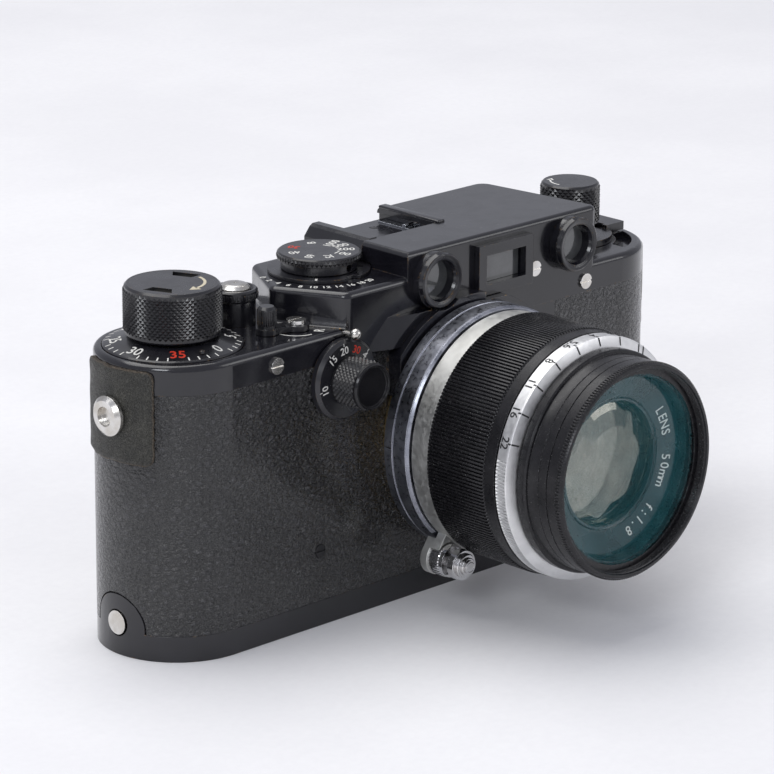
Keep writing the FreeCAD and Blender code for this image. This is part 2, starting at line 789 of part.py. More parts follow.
def slotted_screw(name, x, z, head, shank_length, surface, facing_back=False):
    """Slotted screw in the front or back wall, head proud of the surface."""
    sign = -1 if facing_back else 1
    near, far, deep = sign * surface, sign * (surface + 0.5), sign * (surface - shank_length)
    span = sorted((near, far))
    head_solid = cylinder(name + "_head", head, span[0], span[1], x, z, "front")
    shank_span = sorted((near, deep))
    shank = cylinder(name + "_shank", head * 0.58, shank_span[0], shank_span[1], x, z, "front")
    slot_span = sorted((-sign * (surface + 0.25), -sign * (surface + 1)))
    slot = box(name + "_slot", (x - 2, x + 2), slot_span, (z - 0.2, z + 0.2))
    return cut(name, fuse(name + "_blank", head_solid, shank), slot)


def cover_screws():
    surface = DIMENSIONS["body_radius"]
    screws = []
    for i, (x, z) in enumerate(FRONT_SCREWS):
        screws.append(slotted_screw("front_screw_%d" % i, x, z, 1.55, 2.2, surface))
    for i, (x, z) in enumerate(BACK_SCREWS):
        screws.append(slotted_screw("back_screw_%d" % i, x, z, 1.55, 2.2, surface, True))
    return group("cover_screws", *screws, lever_screw())


def leather_screw():
    surface = DIMENSIONS["body_radius"] - 0.4
    return slotted_screw("leather_screw", *LEATHER_SCREW, LEATHER_SCREW_HEAD, 1.9, surface)


def window_rings():
    rings = []
    for i, x in enumerate((D.window_left, D.window_right)):
        rings.append(turned("window_ring_%d" % i, [
            (3.8, 13.6), (4.55, 13.6), (4.55, D.body_radius), (D.window_ring + 0.1, D.body_radius),
            (D.window_ring + 0.1, D.window_front - 0.9), (D.window_ring - 0.3, D.window_front),
            (4.3, D.window_front), (3.8, D.window_front - 0.9),
        ], x, D.window_z, "front"))
    return group("window_rings", *rings)


def window_glasses():
    """Panes of the two rangefinder windows, the viewfinder and the eyepieces."""
    panes = []
    for i, x in enumerate((D.window_left, D.window_right)):
        panes.append(cylinder("window_pane_%d" % i, 3.78, 14.6, 15.5, x, D.window_z, "front"))
    side, rise = D.finder_width / 2 - 2.45, D.finder_height / 2 - 2.15
    panes.append(box("finder_pane", (D.finder_x - side, D.finder_x + side), (-15.0, -14.2),
                     (D.finder_z - rise, D.finder_z + rise)))
    wall = -D.housing_back
    for i, x in enumerate(EYEPIECES):
        name = "eyepiece_pane_%d" % i
        panes.append(cylinder(name, 2.98, wall - 0.6, wall + 0.8, x, D.window_z, "front"))
    return group("window_glasses", *panes)


def viewfinder_frame():
    half_width, half_height = D.finder_width / 2, D.finder_height / 2

    def plate(name, inset, start, end):
        return box(name, (D.finder_x - half_width + inset, D.finder_x + half_width - inset),
                   (-sized(end), -sized(start)),
                   (D.finder_z - half_height + inset, D.finder_z + half_height - inset))
    flange = plate("frame_flange", 0, D.body_radius, D.body_radius + 1.4)
    spigot = plate("frame_spigot", 1.35, 13.6, D.body_radius)
    opening = plate("frame_opening", 2.1, *FRONT_WALL)
    return cut("viewfinder_frame", fuse("frame_blank", flange, spigot), opening)


def eyepiece_rings():
    wall = -D.housing_back
    rings = []
    for i, x in enumerate(EYEPIECES):
        rings.append(turned("eyepiece_ring_%d" % i, steps(
            (3.0, D.eyepiece_ring, wall - 1.4, wall), (3.0, 3.88, wall, wall + 1.6),
        ), x, D.window_z, "front"))
    return group("eyepiece_rings", *rings)


def flash_socket():
    """Contact socket in the housing's back wall."""
    wall = -D.housing_back
    return turned("flash_socket", steps(
        (1.4, 3.4, wall - 0.9, wall), (0, 2.58, wall, wall + 2.4),
    ), FLASH_X, FLASH_Z, "front")


# ---------------------------------------------------------------- winding and rewinding

KNOB_CAVITY = 7.6
CAP_UNDER = D.wind_top - 1.0


def wind_knob():
    return turned("wind_knob", [
        (D.spindle_radius, D.wind_bottom + 0.2), (D.wind_radius - 0.5, D.wind_bottom + 0.2),
        (D.wind_radius, D.wind_bottom + 0.7), (D.wind_radius, D.wind_top - 0.4),
        (D.wind_radius - 0.4, D.wind_top), (D.wind_radius - 0.8, D.wind_top),
        (D.wind_radius - 0.8, CAP_UNDER), (KNOB_CAVITY, CAP_UNDER),
        (KNOB_CAVITY, D.wind_top - 2.6), (D.spindle_radius, D.wind_top - 2.6),
    ], D.wind_x, 0, "up")


def wind_knob_cap():
    """Top plate of the winding knob, with two windows over the film reminder disc."""
    plate = cylinder("cap_plate", D.wind_radius - 0.82, CAP_UNDER, D.wind_top, D.wind_x, 0)
    windows = []
    for name, direction in (("front", 204), ("back", 24)):
        turn = math.radians(direction)
        corners = [(4.3, -1.9), (4.3, 1.9), (6.7, 2.9), (6.7, -2.9)]
        windows.append(prism("cap_window_" + name, [
            (D.wind_x + out * math.cos(turn) - side * math.sin(turn),
             out * math.sin(turn) + side * math.cos(turn)) for out, side in corners
        ], 66, 70))
    return cut("wind_knob_cap", plate, *windows)


def film_reminder_disc():
    return turned("film_reminder_disc", steps(
        (D.spindle_radius + D.fit_gap, KNOB_CAVITY - 0.3, D.wind_top - 2.5, CAP_UNDER - 0.1),
    ), D.wind_x, 0, "up")


def wind_shaft():
    return turned("wind_shaft", steps(
        (0, D.spindle_radius, 12.5, CAP_UNDER - 0.05),
    ), D.wind_x, 0, "up")


def counter_dial():
    """Frame counter under the winding knob."""
    return turned("counter_dial", [
        (D.spindle_radius + 0.1, COUNTER_FLOOR + 0.1), (D.counter_radius, COUNTER_FLOOR + 0.1),
        (D.counter_radius, D.counter_top - 0.35), (D.counter_radius - 0.3, D.counter_top - 0.1),
        (8.6, D.counter_top + 1.1), (D.spindle_radius + 0.1, D.counter_top + 1.1),
    ], D.wind_x, 0, "up")


def take_up_spool():
    return turned("take_up_spool", steps(
        (D.spindle_radius, 10.0, 13.0, 14.2), (D.spindle_radius, 5.5, 14.2, 49.6),
        (D.spindle_radius, 10.0, 49.6, 50.6),
    ), D.wind_x, 0, "up")


SPROCKET_X = -37.0
SPROCKET_Y = 4.5
SPROCKET_TEETH = 8


def sprocket_shaft():
    """Toothed shaft that meters the film by its perforations."""
    pieces = [cylinder("sprocket_core", 2.0, 12.0, 50.5, SPROCKET_X, SPROCKET_Y)]
    for i, z in enumerate((18.0, 46.0)):
        wheel = cylinder("sprocket_wheel_%d" % i, 4.6, z, z + 2.4, SPROCKET_X, SPROCKET_Y)
        pieces.append(wheel)
        for k in range(SPROCKET_TEETH):
            tooth = document.addObject("Part::Box", "sprocket_tooth_%d_%d" % (i, k))
            bind(tooth, {"Length": 5.5, "Width": 1.0, "Height": 1.0})
            angle = FreeCAD.Rotation(Z_AXIS, 360 / SPROCKET_TEETH * k)
            offset = angle.multVec(FreeCAD.Vector(0, -0.5, 0))
            place(tooth, (SPROCKET_X + offset.x, SPROCKET_Y + offset.y, z + 0.7), angle)
            pieces.append(tooth)
    return fuse("sprocket_shaft", *pieces)


def rewind_knob():
    bore = D.spindle_radius
    return turned("rewind_knob", [
        (bore, 59.6), (D.rewind_radius - 0.7, 59.6), (D.rewind_radius - 0.7, 60.6),
        (D.rewind_radius, 61.0), (D.rewind_radius, D.rewind_top - 0.35),
        (D.rewind_radius - 0.35, D.rewind_top), (0, D.rewind_top), (0, 67.6), (bore, 67.6),
    ], D.rewind_x, 0, "up")


def rewind_shaft():
    """Rewind spindle with the fork that turns the film cartridge."""
    shaft = turned("rewind_spindle", steps(
        (0, 5.0, 51.0, 52.6), (0, D.spindle_radius - D.fit_gap, 52.6, 67.4),
    ), D.rewind_x, 0, "up")
    prongs = [box("prong_%d" % i, (D.rewind_x - 0.8, D.rewind_x + 0.8), (y, y + 1.4), (46.5, 51.0))
              for i, y in enumerate((-2.6, 1.2))]
    return fuse("rewind_shaft", shaft, *prongs)


def diopter_lever():
    """Eyepiece focusing lever round the foot of the rewind knob."""
    disc = turned("diopter_disc", steps(
        (D.spindle_radius + D.fit_gap, 8.6, D.deck_top + 0.08, 58.5),
    ), D.rewind_x, 0, "up")
    tab = box("diopter_tab", (D.rewind_x + 7.4, D.rewind_x + 12.6), (-3.4, 3.4),
              (D.deck_top + 0.35, 59.2))
    nose = cylinder("diopter_nose", 13.0, D.deck_top + 0.35, 59.2, D.rewind_x, 0)
    notch = box("diopter_notch", (D.rewind_x + 6.6, D.rewind_x + 8.0), (-2.2, 0.4), (57.8, 60))
    tongue = common("diopter_tongue", tab, nose)
    return cut("diopter_lever", fuse("diopter_blank", disc, tongue), notch)


# ---------------------------------------------------------------- release and speed controls

def release_button():
    return turned("release_button", [
        (0, 53.2), (BUTTON_RADIUS + 0.9, 53.2), (BUTTON_RADIUS + 0.9, 54.4),
        (BUTTON_RADIUS, 54.4), (BUTTON_RADIUS, 64.1), (BUTTON_RADIUS - 0.5, 64.6), (0, 64.7),
    ], D.release_x, D.release_y, "up")


def release_collar():
    inner = BUTTON_RADIUS + 0.15
    return turned("release_collar", [
        (inner, D.deck_top), (3.95, D.deck_top), (3.95, D.collar_top - 2.2),
        (4.35, D.collar_top - 1.8), (4.35, D.collar_top - 0.3), (4.05, D.collar_top),
        (3.6, D.collar_top), (inner, D.collar_top - 0.6),
    ], D.release_x, D.release_y, "up")


LEVER_LOW = D.deck_top + 0.1
LEVER_HIGH = 58.4


def rewind_release_lever():
    """Lever that frees the film transport for rewinding, with its knurled finger pin."""
    middle = (D.pivot_x + D.pin_x) / 2
    middle_y = (D.pivot_y + D.pin_y) / 2
    run = math.degrees(math.atan2(
        (D.pin_y - D.pivot_y).number, (D.pin_x - D.pivot_x).number))
    length = (D.pin_x - D.pivot_x).number / math.cos(math.radians(run))
    arm = document.addObject("Part::Box", "lever_arm")
    bind(arm, {"Length": length, "Width": 3.0, "Height": LEVER_HIGH - LEVER_LOW})
    angle = FreeCAD.Rotation(Z_AXIS, run)
    start = angle.multVec(FreeCAD.Vector(-length / 2, -1.5, 0))
    place(arm, (middle + start.x, middle_y + start.y, LEVER_LOW), angle)
    eye = cylinder("lever_eye", 2.5, LEVER_LOW, LEVER_HIGH, D.pivot_x, D.pivot_y)
    foot = cylinder("lever_foot", 2.1, LEVER_LOW, LEVER_HIGH, D.pin_x, D.pin_y)
    pin = turned("lever_pin", [
        (0, LEVER_HIGH - 0.2), (1.75, LEVER_HIGH - 0.2), (1.75, 62.1), (1.3, 62.6), (0, 62.6),
    ], D.pin_x, D.pin_y, "up")
    bore = cylinder("lever_bore", LEVER_SHANK + D.fit_gap, 50, 60, D.pivot_x, D.pivot_y)
    return cut("rewind_release_lever", fuse("lever_blank", arm, eye, foot, pin), bore)


def lever_screw():
    head = cylinder("lever_screw_head", 1.85, LEVER_HIGH + 0.05, 59.2, D.pivot_x, D.pivot_y)
    shank = cylinder("lever_screw_shank", LEVER_SHANK, 54.6, LEVER_HIGH + 0.1,
                     D.pivot_x, D.pivot_y)
    slot = box("lever_screw_slot", (D.pivot_x - 3, D.pivot_x + 3),
               (D.pivot_y - 0.22, D.pivot_y + 0.22), (58.85, 60))
    return cut("lever_screw", fuse("lever_screw_blank", head, shank), slot)


def speed_dial():
    """Lift-and-turn shutter speed dial."""
    blank = turned("dial_body", [
        (D.spindle_radius, 64.75), (7.3, 64.75), (7.3, 66.3), (D.dial_radius, 66.5),
        (D.dial_radius, D.dial_top - 0.3), (D.dial_radius - 0.3, D.dial_top), (0, D.dial_top),
        (0, 67.3), (D.spindle_radius, 67.3),
    ], D.dial_x, D.dial_y, "up")
    screw_hole = cylinder("dial_set_screw", 0.75, 5.0, 9.0, D.dial_x + 1.0, 65.6, "front")
    return cut("speed_dial", blank, screw_hole)


def speed_dial_spindle():
    return turned("speed_dial_spindle", steps(
        (0, D.spindle_radius - D.fit_gap, 12.0, 67.2),
    ), D.dial_x, D.dial_y, "up")


def shutter_drum():
    """Roller that winds the first shutter curtain, on the speed dial's spindle."""
    return turned("shutter_drum", steps(
        (D.spindle_radius - D.fit_gap, 6.4, 15.0, 50.8),
    ), D.dial_x, D.dial_y, "up")


def sync_ring():
    """Flash setting ring round the foot of the speed dial, with its index notch."""
    ring = turned("sync_body", steps(
        (D.spindle_radius + 0.4, SYNC_RADIUS, D.platform_top + 0.05, 64.6),
    ), D.dial_x, D.dial_y, "up")
    left, right = D.dial_x - 2.2, D.dial_x + 2.2
    front = D.dial_y - SYNC_RADIUS
    notch = prism("sync_notch", [
        (left, front - 1), (right, front - 1), (D.dial_x + 0.9, front + 1.4),
        (D.dial_x - 0.9, front + 1.4),
    ], 63, 66)
    return cut("sync_ring", ring, notch)


def slow_speed_dial():
    """Slow speed disc on the front, with its shaft through the body."""
    return turned("slow_speed_dial", [
        (0, 10.5), (SLOW_SHAFT, 10.5), (SLOW_SHAFT, D.body_radius + 0.3),
        (D.slow_radius, D.body_radius + 0.3),
        (D.slow_radius, D.slow_front - 0.7), (D.slow_radius - 0.6, D.slow_front),
        (0, D.slow_front),
    ], D.slow_x, D.slow_z, "front")


def slow_speed_knob():
    return turned("slow_speed_knob", [
        (0, D.slow_front), (D.slow_knob, D.slow_front), (D.slow_knob, D.slow_knob_front - 0.4),
        (D.slow_knob - 0.3, D.slow_knob_front), (D.slow_knob - 0.6, D.slow_knob_front),
        (D.slow_knob - 0.8, D.slow_knob_front - 0.5), (0, D.slow_knob_front - 0.5),
    ], D.slow_x, D.slow_z, "front")


def slow_dial_lock():
    """Ball-headed pin that locks the slow speed disc."""
    head = ball("lock_pin_ball", 1.1, LOCK_PIN[0], -18.0, LOCK_PIN[1] + 0.3)
    stem = cylinder("lock_pin_stem", LOCK_STEM, 12.6, 17.9, *LOCK_PIN, "front")
    return fuse("slow_dial_lock", head, stem)


# ---------------------------------------------------------------- lens

BARREL_BACK = 21.0
RING_GAP = D.barrel_radius + 0.08
CAM_BORE = 15.6
NECK_RADIUS = 20.0
CELL_RADIUS = 17.6
NOSE_BORE = 17.8
IRIS_LEAVES = 10


def lens_base_ring():
    """Fixed ring of the lens with its mounting thread."""
    return lens_ring(
        "lens_base_ring",
        (D.cam_radius + 0.08, D.mount_thread - 0.02, SHELL_RADIUS, D.base_ring_back),
        (D.cam_radius + 0.08, D.base_ring_radius, D.base_ring_back, BARREL_BACK - 0.4),
        (RING_GAP, D.base_ring_radius, BARREL_BACK - 0.4, D.base_ring_front),
    )


def lever_block(name, near, far, half_width, start, end):
    """Radial block that points from the lens axis to the focusing lever."""
    thing = document.addObject("Part::Box", name)
    bind(thing, {"Length": sized(far) - near, "Width": sized(end) - start,
                 "Height": 2 * half_width})
    angle = FreeCAD.Rotation(Y_AXIS, -DIMENSIONS["lever_angle"])
    offset = angle.multVec(FreeCAD.Vector(sized(near).number, 0, -half_width))
    return place(thing, (D.lens_x + offset.x, -sized(end), D.lens_z + offset.z), angle)


LEVER_TURN = math.radians(DIMENSIONS["lever_angle"])
LEVER_X = D.lens_x + D.lever_reach * math.cos(LEVER_TURN)
LEVER_Z = D.lens_z + D.lever_reach * math.sin(LEVER_TURN)
LEVER_BACK = 24.0
LEVER_FRONT = 25.6
LEVER_FACE = 28.0
LEVER_HALF = 3.4
BUTTON_BORE = 1.3
SLEEVE_FRONT = 29.4


def focus_ring():
    """Silver focusing ring with its lever."""
    ring = lens_ring("focus_ring_body", (
        RING_GAP, D.focus_ring_radius, D.focus_ring_back, D.focus_ring_front))
    root = lever_block("focus_lever_root", 22.5, 25.5, LEVER_HALF, D.focus_ring_back, LEVER_FACE)
    arm = lever_block("focus_lever_arm", 24.3, D.lever_reach, LEVER_HALF, LEVER_BACK, LEVER_FACE)
    tip = cylinder("focus_lever_tip", LEVER_HALF, LEVER_BACK, LEVER_FRONT, LEVER_X, LEVER_Z,
                   "front")
    face = cylinder("focus_lever_face", LEVER_HALF + 0.05, LEVER_FRONT, 40, LEVER_X, LEVER_Z,
                    "front")
    bore = cylinder("focus_lever_bore", BUTTON_BORE, 20, 40, LEVER_X, LEVER_Z, "front")
    around = cylinder("focus_lever_inside", D.base_ring_radius + 0.3, 20,
                      D.focus_ring_back - 0.05, D.lens_x, D.lens_z, "front")
    return cut("focus_ring", fuse("focus_blank", ring, root, arm, tip), face, bore, around)


def focus_grip():
    """Black grip that turns with the focusing ring."""
    return lens_ring("focus_grip", (
        RING_GAP, D.grip_radius, D.focus_ring_front, D.grip_front))


def focus_knob():
    return turned("focus_knob", steps(
        (BUTTON_BORE, D.knob_sleeve, LEVER_FRONT, SLEEVE_FRONT),
    ), LEVER_X, LEVER_Z, "front")


def infinity_lock_button():
    """Sprung button in the focusing knob."""
    stem = BUTTON_BORE - D.fit_gap
    back = SLEEVE_FRONT + 1.2
    return turned("infinity_lock_button", [
        (0, LEVER_BACK + 0.3), (stem, LEVER_BACK + 0.3), (stem, back), (D.lock_button, back),
        (D.lock_button, back + 1.8), (2.2, back + 1.8), (2.2, back + 2.6), (1.3, back + 2.6),
        (1.3, back + 3.4), (0, back + 3.4),
    ], LEVER_X, LEVER_Z, "front")


def front_barrel():
    """Sliding lens barrel with the rangefinder cam at its back."""
    return lens_ring(
        "front_barrel",
        (CAM_BORE, D.cam_radius, D.cam_back, BARREL_BACK),
        (CAM_BORE, D.barrel_radius, BARREL_BACK, BARREL_BACK + 1.2),
        (D.barrel_bore, D.barrel_radius, BARREL_BACK + 1.2, D.grip_front + 0.1),
        (D.barrel_bore, D.collar_radius, D.grip_front + 0.1, D.collar_front),
        (D.barrel_bore, NECK_RADIUS, D.collar_front, D.aperture_front + 0.1),
    )


def aperture_ring():
    bore = NECK_RADIUS + D.fit_gap
    back = D.collar_front + 0.1
    return turned("aperture_ring", [
        (bore, back), (D.aperture_radius, back), (D.aperture_radius, D.aperture_front - 0.7),
        (21.7, D.aperture_front), (bore, D.aperture_front),
    ], D.lens_x, D.lens_z, "front")


def front_sleeve():
    """Black nose of the lens in front of the aperture ring."""
    back = D.aperture_front + 0.1
    return lens_ring(
        "front_sleeve",
        (NOSE_BORE, D.bezel_radius, back, D.bezel_front),
        (NOSE_BORE, D.sleeve_radius, D.bezel_front, D.sleeve_front),
    )


def name_ring():
    return turned("name_ring", [
        (12.1, 54.2), (17.75, 54.2), (17.75, 56.2), (17.0, 56.2), (13.2, 55.0), (12.1, 55.0),
    ], D.lens_x, D.lens_z, "front")


def lens_elements():
    """Cemented groups in front of and behind the iris."""
    front = turned("front_element", [
        (0, 50.4), (12.05, 50.4), (12.05, 54.1), (10.4, 54.9), (7.4, 55.7), (3.8, 56.2), (0, 56.4),
    ], D.lens_x, D.lens_z, "front")
    second = turned("second_element", steps((0, 11.4, 46.2, 50.2)), D.lens_x, D.lens_z, "front")
    rear = turned("rear_element", steps((0, 11.0, 28.0, 38.6)), D.lens_x, D.lens_z, "front")
    return group("lens_elements", front, second, rear)


def lens_cell():
    """Inner tube that holds the lens elements."""
    return lens_ring(
        "lens_cell",
        (11.1, CELL_RADIUS, 24.0, 39.0),
        (17.1, CELL_RADIUS, 39.0, 42.5),
        (11.5, CELL_RADIUS, 42.5, 50.3),
        (12.1, CELL_RADIUS, 50.3, 54.1),
    )


def iris_blades():
    """Ten overlapping blades, drawn as separate leaves in two layers."""
    leaves = []
    for k in range(IRIS_LEAVES):
        layer = 40.4 + 0.35 * (k % 2)
        ring = lens_ring("iris_ring_%d" % k, (12.6, 17.0, layer, layer + 0.2))
        wedge = document.addObject("Part::Box", "iris_wedge_%d" % k)
        bind(wedge, {"Length": 20, "Width": 10, "Height": 10.0})
        angle = FreeCAD.Rotation(Y_AXIS, 360 / IRIS_LEAVES * k)
        offset = angle.multVec(FreeCAD.Vector(0, 0, -5.0))
        place(wedge, (D.lens_x + offset.x, -45, D.lens_z + offset.z), angle)
        leaves.append(common("iris_leaf_%d" % k, ring, wedge))
    return group("iris_blades", *leaves)


def filter_ring():
    """Screw-in filter mount with its own front thread."""
    back = D.sleeve_front + 0.1
    return lens_ring(
        "filter_ring",
        (D.filter_bore, D.sleeve_radius, back, 59.2),
        (18.2, D.sleeve_radius, 59.2, 59.9),
        (D.filter_thread, D.filter_radius, 59.9, D.filter_front),
    )


def filter_glass():
    return cylinder("filter_glass", 18.18, 59.21, 59.85, D.lens_x, D.lens_z, "front")


# ---------------------------------------------------------------- inside the body


CRATE_LOW = 11.9
CRATE_HIGH = 52.9
CRATE_PLATE = 1.3
CRATE_BACK = 11.6


def shutter_crate():
    """Frame that carries the shutter, with the film gate as its back wall."""
    floor, roof = CRATE_LOW + CRATE_PLATE, CRATE_HIGH - CRATE_PLATE
    top = box("crate_top", (-30, 40), (-12.0, CRATE_BACK), (roof, CRATE_HIGH))
    bottom = box("crate_bottom", (-30, 40), (-12.0, CRATE_BACK), (CRATE_LOW, floor))
    front = box("crate_front", (-29, 40), (-12.6, -11.2), (CRATE_LOW, CRATE_HIGH))
    gate = box("crate_gate", (-12, 26), (CRATE_BACK - 1.2, CRATE_BACK), (floor, roof))
    throat = cylinder("crate_throat", THROAT_RADIUS + 0.1, 0, 20, D.lens_x, D.lens_z, "front")
    frame = box("crate_aperture", (D.lens_x - 18, D.lens_x + 18), (10, 12),
                (D.lens_z - 12, D.lens_z + 12))
    slow_hole = cylinder("crate_slow_hole", SLOW_SHAFT + 0.3, *FRONT_WALL, D.slow_x, D.slow_z, "front")
    bore = cylinder("crate_dial_bore", D.spindle_radius + 0.3, 5, 60, D.dial_x, D.dial_y)
    shell_room = stadium("crate_room", SHELL_INNER - 0.3, 5, 55)
    blank = fuse("crate_blank", top, bottom, front, gate)
    return cut("shutter_crate", common("crate_fit", blank, shell_room), throat, frame, slow_hole,
               bore)


def curtain_rollers():
    """Spring rollers that pull the curtains across."""
    rollers = [cylinder("roller_%d" % i, 2.4, 13.5, 51.3, 33.0, y) for i, y in enumerate((-4.0, 2.5))]
    return group("curtain_rollers", *rollers)


def shutter_curtains():
    first = box("curtain_first", (-14, 8), (8.6, 8.9), (16, 50))
    second = box("curtain_second", (9, 33), (9.3, 9.6), (16, 50))
    return group("shutter_curtains", first, second)


CAM_ARM_X = 25.0
CAM_ARM_Y = -7.6


def rf_cam_arm():
    """Follower arm that links the lens cam to the rangefinder."""
    arm = box("cam_arm_bar", (D.lens_x - 0.8, CAM_ARM_X), (-8.6, -7.4), (49.2, 50.7))
    boss = cylinder("cam_arm_boss", 2.0, 48.6, 51.4, CAM_ARM_X, CAM_ARM_Y)
    roller = cylinder("cam_arm_roller", 1.3, 48.4, 50.9, D.lens_x, -10.4)
    neck = box("cam_arm_neck", (D.lens_x - 0.8, D.lens_x + 0.8), (-10.4, -8.5), (49.2, 50.7))
    return fuse("rf_cam_arm", arm, boss, roller, neck)


def finder_prisms():
    """Mirror blocks behind the rangefinder windows and the viewfinder lens."""
    length, thick, height = 5.6, 1.6, 7.0
    angle = FreeCAD.Rotation(Z_AXIS, 45)
    offset = angle.multVec(FreeCAD.Vector(-length / 2, -thick / 2, 0))
    blocks = []
    for name, x in (("left", D.window_left), ("right", D.window_right)):
        block = document.addObject("Part::Box", "prism_" + name)
        bind(block, {"Length": length, "Width": thick, "Height": height})
        place(block, (x + offset.x, offset.y - 8.0, D.window_z - 3.6), angle)
        blocks.append(block)
    lens = cylinder("finder_lens", 3.6, -9.0, -7.4, D.finder_x, D.finder_z, "front")
    return group("finder_prisms", *blocks, lens)


# ---------------------------------------------------------------- assembly

BUILDERS = (
    body_shell, leather_wrap, mount_apron, mount_flange, base_plate, tripod_bush, base_hook_stud,
    base_lock_disc, base_lock_handle, lug_pads, strap_lugs, top_cover, accessory_shoe,
    shoe_spring, cover_screws, leather_screw, window_rings, window_glasses, viewfinder_frame,
    eyepiece_rings, flash_socket, wind_knob, wind_knob_cap, film_reminder_disc, wind_shaft,
    counter_dial, take_up_spool, sprocket_shaft, rewind_knob,
    rewind_shaft, diopter_lever, release_button, release_collar, rewind_release_lever,
    speed_dial, speed_dial_spindle, shutter_drum, sync_ring, slow_speed_dial,
    slow_speed_knob, slow_dial_lock, lens_base_ring, focus_ring, focus_grip, focus_knob,
    infinity_lock_button, front_barrel, aperture_ring, front_sleeve, name_ring, lens_elements,
    lens_cell, iris_blades, filter_ring, filter_glass, shutter_crate, curtain_rollers,
    shutter_curtains, rf_cam_arm, finder_prisms,
)


def build_all():
    for builder in BUILDERS:
        node(builder.__name__, builder())
    document.recompute()


def check_all():
    """Stop if any object of the document failed or any piece is empty or invalid."""
    for thing in document.Objects:
        if "Invalid" in thing.State or "Error" in thing.State:
            raise RuntimeError("%s failed: %s" % (thing.Name, thing.State))
    for piece in NODES:
        shape = piece.Shape
        if shape.isNull() or not shape.isValid() or not shape.Solids:
            raise RuntimeError("%s has no valid solid" % piece.Label)


def write_all():
    for piece in NODES:
        piece.Shape.exportStep("parts/%s.step" % piece.Label)


build_all()
check_all()
write_all()
print("%d parts written" % len(NODES))
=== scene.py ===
import json
import math
from types import SimpleNamespace

import bmesh
import bpy
from mathutils import Matrix, Vector, noise


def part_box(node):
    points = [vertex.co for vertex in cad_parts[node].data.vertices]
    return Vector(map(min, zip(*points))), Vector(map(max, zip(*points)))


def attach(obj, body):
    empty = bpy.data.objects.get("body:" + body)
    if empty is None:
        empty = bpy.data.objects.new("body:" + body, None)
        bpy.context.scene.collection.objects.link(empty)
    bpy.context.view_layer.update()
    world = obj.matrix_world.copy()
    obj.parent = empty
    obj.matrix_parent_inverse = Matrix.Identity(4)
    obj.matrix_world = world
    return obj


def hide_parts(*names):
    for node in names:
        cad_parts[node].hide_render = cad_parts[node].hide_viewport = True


# Looks of the rangefinder camera, built round its CAD nodes.
#
# Pieces are drawn in millimetres along a local axis z, with z = 0 on the camera's middle plane
# or on its underside, and a "spot" matrix turns them into the frame's metres.

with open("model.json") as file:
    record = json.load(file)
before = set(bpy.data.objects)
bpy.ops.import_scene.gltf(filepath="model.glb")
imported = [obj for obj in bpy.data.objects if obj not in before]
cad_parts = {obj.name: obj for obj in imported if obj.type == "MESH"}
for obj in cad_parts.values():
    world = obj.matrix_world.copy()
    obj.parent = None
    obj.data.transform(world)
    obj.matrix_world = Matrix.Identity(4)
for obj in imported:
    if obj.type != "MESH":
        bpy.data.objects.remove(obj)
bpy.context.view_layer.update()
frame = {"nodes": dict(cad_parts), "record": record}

MM = 0.001
TURN = 2 * math.pi
MARK = 0.012            # half the thickness of a painted mark, and its height off the metal
DECK = 57.2             # top of the deck
PLATFORM = 63.9         # top of the raised platform
SHOE_FLOOR = 66.2       # floor of the accessory shoe
UP = Matrix.Identity(4)
FRONT = Matrix(((1, 0, 0, 0), (0, 0, -1, 0), (0, 1, 0, 0), (0, 0, 0, 1)))


# ---------------------------------------------------------------- places taken from the frame


def measure(node, facing=UP):
    """Middle, radius, ends and spot of a turned node, in millimetres."""
    low, high = (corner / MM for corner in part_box(node))
    centre = (low + high) / 2
    radius = (high.x - low.x) / 2
    if facing is UP:
        start, end = low.z, high.z
        origin = Vector((centre.x, centre.y, 0))
    else:
        start, end = -high.y, -low.y
        origin = Vector((centre.x, 0, centre.z))
    return SimpleNamespace(x=centre.x, y=centre.y, z=centre.z, radius=radius, start=start,
                           end=end, spot=spot_at(origin, facing))


def spot_at(origin, facing=UP):
    """Placement matrix for a piece drawn in millimetres."""
    return Matrix.Translation(Vector(origin) * MM) @ facing @ Matrix.Scale(MM, 4)


# ---------------------------------------------------------------- materials


